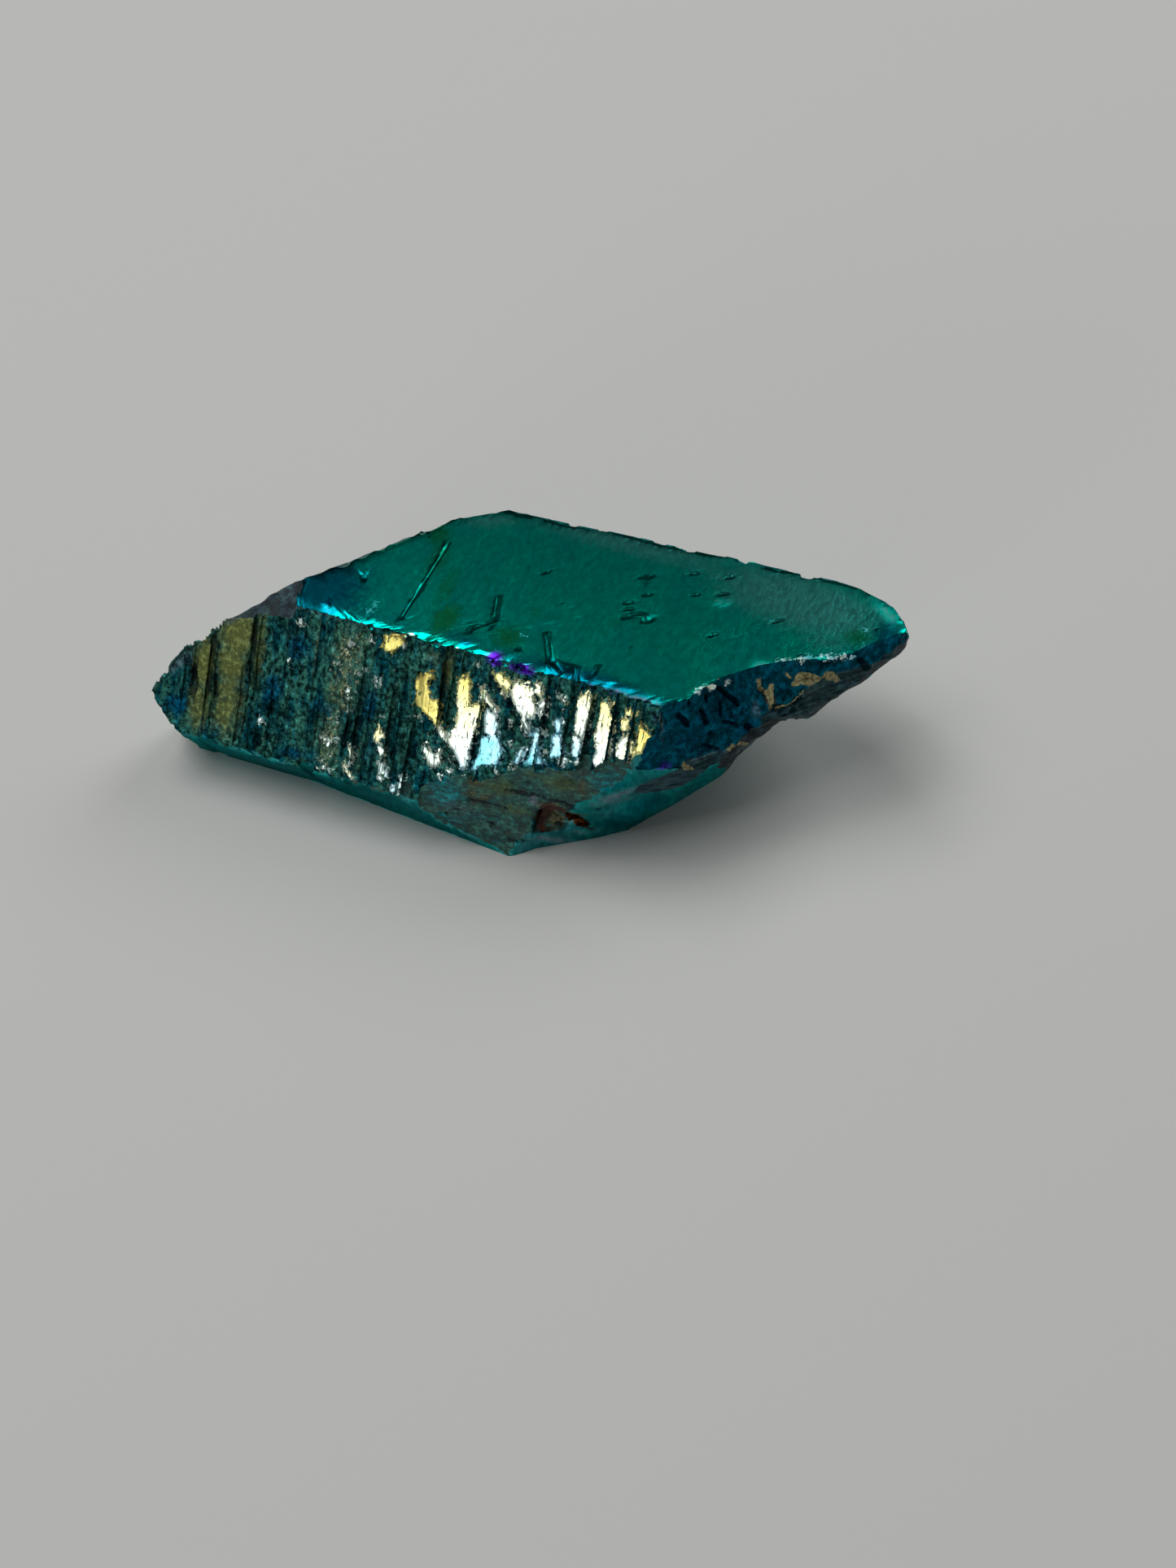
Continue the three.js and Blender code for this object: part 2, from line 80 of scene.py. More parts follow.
def face_normal(lean, turn):
    """The outward normal of a crystal face, from its lean along the axis and its turn about it."""
    side = math.sqrt(1.0 - lean * lean)
    angle = math.radians(turn)
    return np.array([lean, -side * math.sin(angle), side * math.cos(angle)])


def face(name, normal, point, reach, finish):
    """One face: its plane, how far its relief strays from the plane in mm, and its finish."""
    normal = np.array(normal, float)
    return Face(name, normal / np.linalg.norm(normal), np.array(point, float), reach, finish)


FACES = (
    face("upper", (0, 0, 1), (0, 0, TOP), 0.3, "upper"),
    face("striated", face_normal(0, 60), (0, FRONT_EDGE_Y, TOP), 0.5, "ledges"),
    face("front_under", face_normal(0, 120), (0, -3.34, 3.5), 0.3, "side"),
    face("lower", (0, 0, -1), (0, 0, 0), 0.2, "side"),
    face("back_under", (-0.03, 0.866, -0.5), (0, 16.3, 7.2), 0.5, "side"),
    face("back_upper", (-0.044, 0.865, 0.5), (0, 13.8, TOP), 0.5, "side"),
    face("front_dark", (0.575, -0.717, 0.393), (7.23, FRONT_EDGE_Y, TOP), 1.3, "dark"),
    face("point_under_front", (0.69, -0.62, -0.36), (5.7, 1.85, 0), 0.3, "side"),
    face("point_under", face_normal(0.618, 180), (18.7, 11, 10.4), 0.3, "side"),
    face("point_back", face_normal(0.618, -60), (17.46, 13.16, TOP), 0.4, "side"),
    face("back_corner", (0.25, 0.88, 0.4), (16.1, 13.88, TOP), 0.3, "side"),
    face("tip_corner", (0.8, 0.48, 0.35), (18.37, 12.1, TOP), 0.3, "side"),
    face("point_blunt", (1, -0.05, -0.1), (18.7, 11.5, TOP), 0.4, "rim"),
    face("base", (-0.732, 0.628, 0.262), (-15.85, 4.15, TOP), 0.7, "stone"),
    face("base_corner", (-0.57, 0.78, 0.27), (-8.9, 11.8, TOP), 0.5, "stone"),
    face("base_under", face_normal(-0.618, 120), (-22.1, -3, 4), 0.4, "stone"),
    face("top_corner", (-0.2, -0.15, 0.966), (-16.74, 2.69, 11.2), 0.5, "rim"),
    face("wall", (0.157, -0.979, 0.132), (-0.7, -2.5, 0), 0.7, "stone"),
    face("wall_middle", (0.3, -0.95, 0.081), (5.8, -0.32, 8.71), 0.3, "side"),
    face("wall_foot", (0.55, -0.8, -0.25), (1.06, -1.35, 0), 0.6, "side"),
    face("wall_right", (0.654, -0.72, -0.231), (8.04, 0.22, 8.38), 0.3, "side"),
    face("flank", (-0.09, -0.935, -0.344), (-5.8, -3.34, 3.48), 0.3, "side"),
    face("point_rim", (0.769, -0.604, -0.212), (15.05, 7.38, 10.16), 1.6, "rim"),
    face("rim_shelf", (0.685, -0.72, 0.06), (12.23, 5.37, 9.49), 0.6, "dark"),
)
FACE_INDEX = {one.name: i for i, one in enumerate(FACES)}


FACING_WEIGHT = 2.0  # how much a triangle's direction counts beside its place


def facing_penalty(normals, one):
    """How badly normals disagree with a face, from 0 to 2."""
    return 1.0 - normals @ one.normal


def name_triangles(centres, normals):
    """The index in FACES of the face that each triangle belongs to."""
    scores = [
        np.abs((centres - one.point) @ one.normal) / one.reach + FACING_WEIGHT * facing_penalty(normals, one)
        for one in FACES
    ]
    return np.argmin(scores, axis=0)


# ---------------------------------------------------------------- noise

# Large numbers that stir the bits of a cell's place until they look random.
CELL_PRIMES = np.array((73856093, 19349663, 83492791))
SEED_PRIME = 15485863
STIRRER = 1274126177
LOW_BITS = 0xFFFFF


def lattice_value(cells, seed):
    """A repeatable number from 0 to 1 for each whole-numbered cell."""
    across, along, up = (cells * CELL_PRIMES).T
    mixed = across ^ along ^ up ^ seed * SEED_PRIME
    mixed = (mixed ^ (mixed >> 13)) * STIRRER
    mixed = mixed ^ (mixed >> 16)
    return (mixed & LOW_BITS) / float(LOW_BITS)


def eased(part):
    """A part from 0 to 1, made to start and end slowly."""
    return part * part * (3 - 2 * part)


def noise(points, size, seed):
    """Smooth noise from 0 to 1 with lumps of the given size (one number, or one for each axis)."""
    scaled = points / np.asarray(size, float)
    cell = np.floor(scaled).astype(np.int64)
    part = eased(scaled - cell)
    total = np.zeros(len(points))
    for corner in np.ndindex(2, 2, 2):
        weight = np.prod(np.where(corner, part, 1 - part), axis=1)
        total += weight * lattice_value(cell + np.array(corner), seed)
    return total


def rough_noise(points, size, seed, layers):
    """Noise from 0 to 1 in layers, each half as coarse and half as strong as the one before."""
    total = 0.0
    share = 0.0
    for layer in range(layers):
        total = total + noise(points, np.asarray(size, float) / 2 ** layer, seed + layer) / 2 ** layer
        share += 1 / 2 ** layer
    return total / share


def ramp(values, low, high):
    """0 below low, 1 above high, smooth in between."""
    return eased(np.clip((values - low) / (high - low), 0, 1))


# ---------------------------------------------------------------- mesh

SAME_PLACE = 4e-7  # points this near in metres are one point
TINY = 1e-12  # keeps a division safe where a length is zero


def cad_triangles():
    """The CAD solid's points in the crystal frame, and its triangles."""
    mesh = bmesh.new()
    mesh.from_mesh(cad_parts[NODE].data)
    bmesh.ops.remove_doubles(mesh, verts=mesh.verts, dist=SAME_PLACE)
    bmesh.ops.triangulate(mesh, faces=mesh.faces)
    points = np.array([vertex.co for vertex in mesh.verts]) / MM + MIDDLE
    triangles = np.array([[vertex.index for vertex in one.verts] for one in mesh.faces])
    mesh.free()
    return points, triangles


def unit_rows(rows):
    """Each row scaled to a length of one."""
    return rows / np.maximum(np.linalg.norm(rows, axis=1, keepdims=True), TINY)


def triangle_spans(points, triangles):
    """Each triangle's normal, as long as twice its area."""
    corners = points[triangles]
    return np.cross(corners[:, 1] - corners[:, 0], corners[:, 2] - corners[:, 0])


def triangle_frames(points, triangles):
    """The centre and the unit normal of each triangle."""
    return points[triangles].mean(axis=1), unit_rows(triangle_spans(points, triangles))


def edge_table(triangles):
    """The mesh's edges, and for each triangle the edges that follow its three corners."""
    ends = np.stack([triangles, np.roll(triangles, -1, axis=1)], axis=-1)
    ends = np.sort(ends, axis=-1).reshape(-1, 2)
    edges, back = np.unique(ends, axis=0, return_inverse=True)
    return edges, back.reshape(-1, 3)


def rolled(rows, steps):
    """Each row of three turned by its own number of steps."""
    order = (np.arange(3) + steps[:, None]) % 3
    return np.take_along_axis(rows, order, axis=1)


def split_once(points, triangles, labels, limits):
    """Halves each edge that is longer than the limit of either triangle beside it."""
    edges, sides = edge_table(triangles)
    length = np.linalg.norm(points[edges[:, 0]] - points[edges[:, 1]], axis=1)
    limit = np.full(len(edges), np.inf)
    np.minimum.at(limit, sides.reshape(-1), np.repeat(limits[labels], 3))
    cut = length > limit
    if not cut.any():
        return points, triangles, labels, False
    middle = np.full(len(edges), -1)
    middle[cut] = len(points) + np.arange(cut.sum())
    points = np.vstack([points, points[edges[cut]].mean(axis=1)])
    halves = middle[sides]
    count = (halves >= 0).sum(axis=1)
    # A triangle with one cut side turns until that side is first, and one with two until the whole
    # side is last.
    steps = np.where(count == 1, np.argmax(halves >= 0, axis=1), 0)
    steps = np.where(count == 2, (np.argmax(halves < 0, axis=1) + 1) % 3, steps)
    a, b, c = rolled(triangles, steps).T
    ab, bc, ca = rolled(halves, steps).T
    patterns = {
        0: [(a, b, c)],
        1: [(a, ab, c), (ab, b, c)],
        2: [(ab, b, bc), (a, ab, bc), (a, bc, c)],
        3: [(a, ab, ca), (ab, b, bc), (ca, bc, c), (ab, bc, ca)],
    }
    made = []
    kept = []
    for cuts, pieces in patterns.items():
        chosen = count == cuts
        for piece in pieces:
            made.append(np.stack([corner[chosen] for corner in piece], axis=1))
            kept.append(labels[chosen])
    return points, np.vstack(made), np.concatenate(kept), True


def split_long_edges(points, triangles, labels, limits):
    """Halves long edges again and again until none is over its limit."""
    more = True
    while more:
        points, triangles, labels, more = split_once(points, triangles, labels, limits)
    return points, triangles, labels


def neighbour_mean(values, edges):
    """The mean of the values at each point's neighbours."""
    total = np.zeros_like(values)
    count = np.zeros(len(values))
    for here, there in (edges.T, edges.T[::-1]):
        np.add.at(total, here, values[there])
        np.add.at(count, here, 1)
    return total / count.reshape(-1, *[1] * (values.ndim - 1))


def point_shares(triangles, chosen, count):
    """At each point, the share of its triangles that are chosen."""
    total = np.zeros(count)
    hits = np.zeros(count)
    for corner in triangles.T:
        np.add.at(total, corner, 1.0)
        np.add.at(hits, corner, chosen.astype(float))
    return hits / np.maximum(total, 1)


def point_normals(points, triangles):
    """The unit normal at each point, from the triangles around it."""
    spans = triangle_spans(points, triangles)
    normals = np.zeros_like(points)
    for corner in triangles.T:
        np.add.at(normals, corner, spans)
    return unit_rows(normals)


# ---------------------------------------------------------------- marks on the faces

Flat = namedtuple("Flat", "start across down")
Gleam = namedtuple("Gleam", "first last outline")
Wash = namedtuple("Wash", "x y width height turn strength")
Line = namedtuple("Line", "width points")

# Each face's marks are placed in flat millimetres, from a start point with a direction across and one down.
FLATS = {
    "upper": Flat((0, 0, TOP), (1, 0, 0), (0, 1, 0)),
    "striated": Flat((0, FRONT_EDGE_Y, TOP), (1, 0, 0), (0, -0.5, -0.866)),
    "front_dark": Flat((7.23, FRONT_EDGE_Y, TOP), (0.7405, 0.6720, 0), (0.2641, -0.2910, -0.9195)),
    "wall": Flat((-0.7, -2.5, 0), (0.9874, 0.1583, 0), (0.0209, -0.1303, -0.9913)),
}

# The faces that share one set of marks.
MARK_MEMBERS = {
    "upper": ("upper",),
    "striated": ("striated",),
    "front_dark": ("front_dark", "point_rim", "rim_shelf"),
    "wall": ("wall", "wall_middle", "wall_foot", "wall_right"),
}

# Ledges of the striated face with painted highlights: pale film colour laid where they catch the light,
# given as the film's colour order at the ledge's head and at its foot.
# The order runs 0 violet, 0.15 orange, 0.3 gold, 0.45 cream, 0.6 white, 0.8 sky blue, 1 teal.
PAINTED_GLEAMS = (
    Gleam(.22, .36, (
        (-7.12, 2.26), (-6.75, 1.95), (-6.24, 1.71), (-6.09, 1.97), (-6.35, 2.24), (-6.4, 2.55),
        (-6.15, 2.89), (-6.2, 3.31), (-5.98, 3.45), (-5.7, 3.27), (-5.53, 3.7), (-5.53, 4.31),
        (-5.36, 4.77), (-5.52, 4.84), (-5.82, 4.53), (-6.21, 4.34), (-6.6, 4.2), (-6.91, 3.96),
        (-7.02, 3.54), (-6.99, 3.14), (-7.14, 2.77),
    )),
    Gleam(.3, .66, (
        (-4.68, 2.25), (-4.65, 1.8), (-4.49, 1.56), (-4.35, 1.81), (-4.29, 1.55), (-4.14, 1.26),
        (-3.98, 1.61), (-3.86, 2.08), (-3.83, 2.52), (-3.68, 2.83), (-3.81, 2.96), (-3.57, 3.19),
        (-3.38, 2.84), (-3.1, 2.78), (-3.1, 3.18), (-3.09, 3.78), (-3.11, 4.17), (-3.18, 4.58),
        (-3.21, 5), (-3.29, 5.42), (-3.31, 5.88), (-3.2, 6.2), (-3.29, 6.53), (-3.29, 6.83),
        (-3.67, 6.94), (-3.92, 6.41), (-4.18, 6.08), (-4.59, 5.79), (-5, 5.52), (-5.39, 5.25),
        (-5.53, 4.92), (-5.34, 4.86), (-4.98, 5.06), (-4.66, 5.36), (-4.63, 4.94), (-4.43, 4.63),
        (-4.39, 4.22), (-4.41, 3.83), (-4.41, 3.53), (-4.57, 3.17), (-4.59, 2.78),
    )),
    Gleam(.5, .56, (
        (-3.2, 2.69), (-3.24, 2.2), (-3.25, 1.81), (-3.1, 1.88), (-2.83, 2.12), (-2.59, 2.41),
        (-2.35, 2.64), (-2.06, 2.86), (-2.03, 3.05), (-2.29, 2.97), (-2.64, 2.72), (-2.96, 2.65),
    )),
    Gleam(.62, .68, (
        (-2.73, 3.04), (-2.47, 3.07), (-2.16, 3.13), (-1.97, 3.08), (-1.95, 3.47), (-1.84, 3.79),
        (-1.85, 4.29), (-2.07, 4.45), (-2.47, 4.46), (-2.64, 4.31), (-2.62, 3.9), (-2.76, 3.65),
    )),
    Gleam(.74, .8, (
        (-2.76, 4.85), (-2.54, 4.64), (-2.26, 4.5), (-2.02, 4.44), (-1.73, 4.4), (-1.53, 4.7),
        (-1.37, 5.06), (-1.36, 5.46), (-1.49, 5.86), (-1.45, 6.1), (-2.02, 6.32), (-2.5, 6.46),
        (-2.7, 6.77), (-3.07, 7.03), (-3.1, 6.84), (-2.94, 6.52), (-2.78, 5.98), (-2.76, 5.46),
    )),
    Gleam(.54, .6, (
        (-6.08, 6.2), (-5.89, 6.1), (-5.69, 6.4), (-5.37, 6.51), (-5.06, 6.33), (-4.94, 6.7),
        (-4.89, 6.99), (-5.1, 7.25), (-5.39, 7.28), (-5.67, 7.1), (-5.77, 6.83), (-6, 6.69),
    )),
    Gleam(.34, .52, (
        (-2.64, .82), (-2.37, .65), (-2.07, .72), (-1.88, .91), (-1.57, 1.02), (-1.49, 1.2),
        (-1.62, 1.63), (-1.73, 2.1), (-1.87, 2.02), (-1.98, 1.69), (-2.15, 1.38), (-2.44, 1.11),
    )),
    Gleam(.46, .64, (
        (-1.39, 1.17), (-1.26, .84), (-1.07, .79), (-.88, 1.03), (-.71, .88), (-.45, .91), (-.31, 1.17),
        (-.09, 1.01), (-.19, .74), (-.02, .59), (.16, .74), (.44, .96), (.39, 1.22), (.43, 1.46),
        (.22, 1.42), (0, 1.28), (-.15, 1.52), (-.06, 1.8), (.11, 1.95), (.18, 2.33), (.13, 2.65),
        (-.01, 2.98), (-.22, 2.64), (-.26, 2.95), (-.05, 3.29), (.02, 3.66), (-.02, 3.92), (-.28, 3.71),
        (-.48, 3.23), (-.69, 2.77), (-1.04, 2.6), (-1.18, 2.21), (-1.37, 1.96), (-1.43, 1.58),
    )),
    Gleam(.56, .62, (
        (.21, 1.92), (.36, 1.68), (.63, 1.5), (.69, 1.75), (.63, 2.1), (.67, 2.41), (.52, 2.63),
        (.3, 2.5), (.35, 2.18),
    )),
    Gleam(.7, .8, (
        (.26, 3.6), (.46, 3.34), (.61, 3.6), (.69, 4.13), (.77, 4.54), (.75, 4.94), (1.02, 5.26),
        (1.1, 5.43), (.6, 5.51), (-.01, 5.74), (.2, 5.22), (.31, 4.68), (.32, 4.17),
    )),
    Gleam(.66, .74, (
        (-.32, 4.76), (-.02, 4.7), (-.03, 5.09), (-.19, 5.46), (-.35, 5.79), (-.51, 5.73), (-.43, 5.3),
    )),
    Gleam(.72, .76, (
        (1.38, 2.49), (1.66, 2.41), (1.82, 2.77), (1.84, 3.16), (1.57, 3.29), (1.45, 2.87),
    )),
    Gleam(.72, .78, (
        (1.31, 3.51), (1.64, 3.42), (1.93, 3.39), (1.96, 3.83), (2.1, 4.15), (2.25, 4.4), (2.09, 4.6),
        (1.88, 4.76), (1.67, 4.72), (1.61, 4.93), (1.44, 4.78), (1.46, 4.37), (1.51, 4.06), (1.36, 3.8),
    )),
    Gleam(.6, .64, (
        (2.08, 4.75), (2.3, 4.81), (2.36, 5.03), (2.13, 5.09),
    )),
    Gleam(.44, .6, (
        (2.37, 1.04), (2.69, .66), (3, .48), (3.22, .61), (3.26, 1.09), (3.27, 1.68), (3.25, 2.27),
        (3.23, 2.66), (3.2, 3.07), (2.86, 3.07), (2.66, 3.03), (2.56, 2.75), (2.5, 2.18), (2.48, 1.6),
    )),
    Gleam(.62, .72, (
        (2.55, 3.26), (2.79, 3.24), (3.13, 3.24), (3.16, 3.69), (3.09, 4.11), (3.05, 4.43), (2.86, 4.48),
        (2.62, 4.25), (2.63, 3.74),
    )),
    Gleam(.58, .62, (
        (2.88, 4.58), (3.2, 4.48), (3.26, 4.77), (2.91, 4.76),
    )),
    Gleam(.38, .64, (
        (3.8, .78), (4.06, .6), (4.37, .67), (4.5, 1.12), (4.68, 1.55), (4.7, 2.14), (4.75, 2.79),
        (4.75, 3.4), (4.8, 4), (4.56, 3.96), (4.67, 4.34), (4.59, 4.83), (4.44, 5.08), (4.25, 4.65),
        (3.96, 4.43), (4.01, 3.92), (4.18, 3.77), (4.04, 3.51), (3.87, 3.16), (3.62, 2.89), (3.93, 2.41),
        (3.82, 2.09), (3.87, 1.59), (3.84, 1.2),
    )),
    Gleam(.38, .42, (
        (5.27, .85), (5.59, .71), (5.75, 1.06), (5.38, 1.17),
    )),
    Gleam(.4, .44, (
        (5.09, 1.45), (5.38, 1.41), (5.64, 1.29), (5.62, 1.69), (5.59, 2.05), (5.46, 2.14), (5.19, 1.97),
        (5.17, 1.62),
    )),
    Gleam(.5, .56, (
        (5.22, 2.7), (5.47, 2.48), (5.68, 2.27), (5.77, 2.55), (5.76, 2.94), (5.85, 3.22), (5.93, 3.65),
        (5.82, 3.71), (5.46, 4.04), (5.29, 3.76), (5.17, 3.4), (5.19, 3.01),
    )),
    Gleam(.42, .48, (
        (5.86, 2.65), (5.97, 2.66), (6.05, 3.03), (6.03, 3.43), (5.86, 3.14),
    )),
    Gleam(.38, .4, (
        (5.76, .86), (5.99, .85), (5.97, 1.06), (5.84, 1.04),
    )),
    Gleam(.26, .38, (
        (6.22, 1.46), (6.43, 1.55), (6.64, 1.69), (6.89, 1.72), (7.1, 2.05), (7.12, 2.64), (7.13, 3.19),
        (7.07, 3.46), (6.77, 3.32), (6.34, 3.47), (6.05, 3.52), (6.17, 3.01), (6.28, 2.58), (6.19, 2.11),
        (6.29, 1.84),
    )),
    Gleam(.5, .54, (
        (-10.75, 8.68), (-10.62, 8.73), (-10.45, 8.84), (-10.27, 9.17), (-10.14, 9.34), (-10, 9.5),
        (-10.16, 9.56), (-10.34, 9.4), (-10.51, 9.17), (-10.75, 8.92),
    )),
    Gleam(.56, .6, (
        (-10.65, 7.5), (-10.48, 7.61), (-10.36, 7.77), (-10.29, 8.08), (-10.29, 8.28), (-10.28, 8.57),
        (-10.37, 8.77), (-10.44, 8.57), (-10.37, 8.36), (-10.49, 8.18), (-10.49, 7.87), (-10.62, 7.7),
    )),
    Gleam(.44, .48, (
        (-9.17, 6.43), (-9.06, 6.14), (-8.95, 5.9), (-8.83, 5.97), (-8.84, 6.28), (-8.61, 6.06),
        (-8.52, 6.34), (-8.68, 6.59), (-8.87, 6.75), (-9.06, 6.8), (-9.2, 6.59),
    )),
    Gleam(.54, .58, (
        (-8.85, 6.85), (-8.7, 6.85), (-8.61, 7.08), (-8.4, 7.13), (-8.36, 7.42), (-8.43, 7.6),
        (-8.58, 7.59), (-8.72, 7.37), (-8.86, 7.11),
    )),
    Gleam(.6, .66, (
        (-8.68, 7.98), (-8.38, 7.9), (-8.27, 8.01), (-8.22, 8.25), (-8.29, 8.41), (-8.16, 8.33),
        (-8.01, 8.42), (-8, 8.84), (-8.09, 8.91), (-8.32, 8.72), (-8.49, 8.55), (-8.54, 8.25),
    )),
    Gleam(.6, .64, (
        (-8.56, 8.78), (-8.34, 8.87), (-8.13, 8.97), (-8.31, 9.12), (-8.52, 9.08),
    )),
    Gleam(.62, .68, (
        (-7.78, 9.3), (-7.53, 9.2), (-7.29, 9.09), (-7.12, 8.78), (-7.27, 8.68), (-7.06, 8.5),
        (-6.99, 8.87), (-6.93, 9.07), (-6.96, 9.31), (-7.09, 9.29), (-7.26, 9.53), (-7.5, 9.59),
        (-7.74, 9.67),
    )),
    Gleam(.6, .64, (
        (-7.46, 9.78), (-7.19, 9.62), (-7.06, 9.48), (-6.94, 9.53), (-6.95, 9.78), (-7.14, 10.02),
        (-7.28, 9.89),
    )),
    Gleam(.2, .34, (
        (-9.4, .45), (-9, .2), (-8.2, .1), (-8.3, .7), (-8.9, 1.2), (-9.2, 1.3), (-9.45, 1),
    )),
)

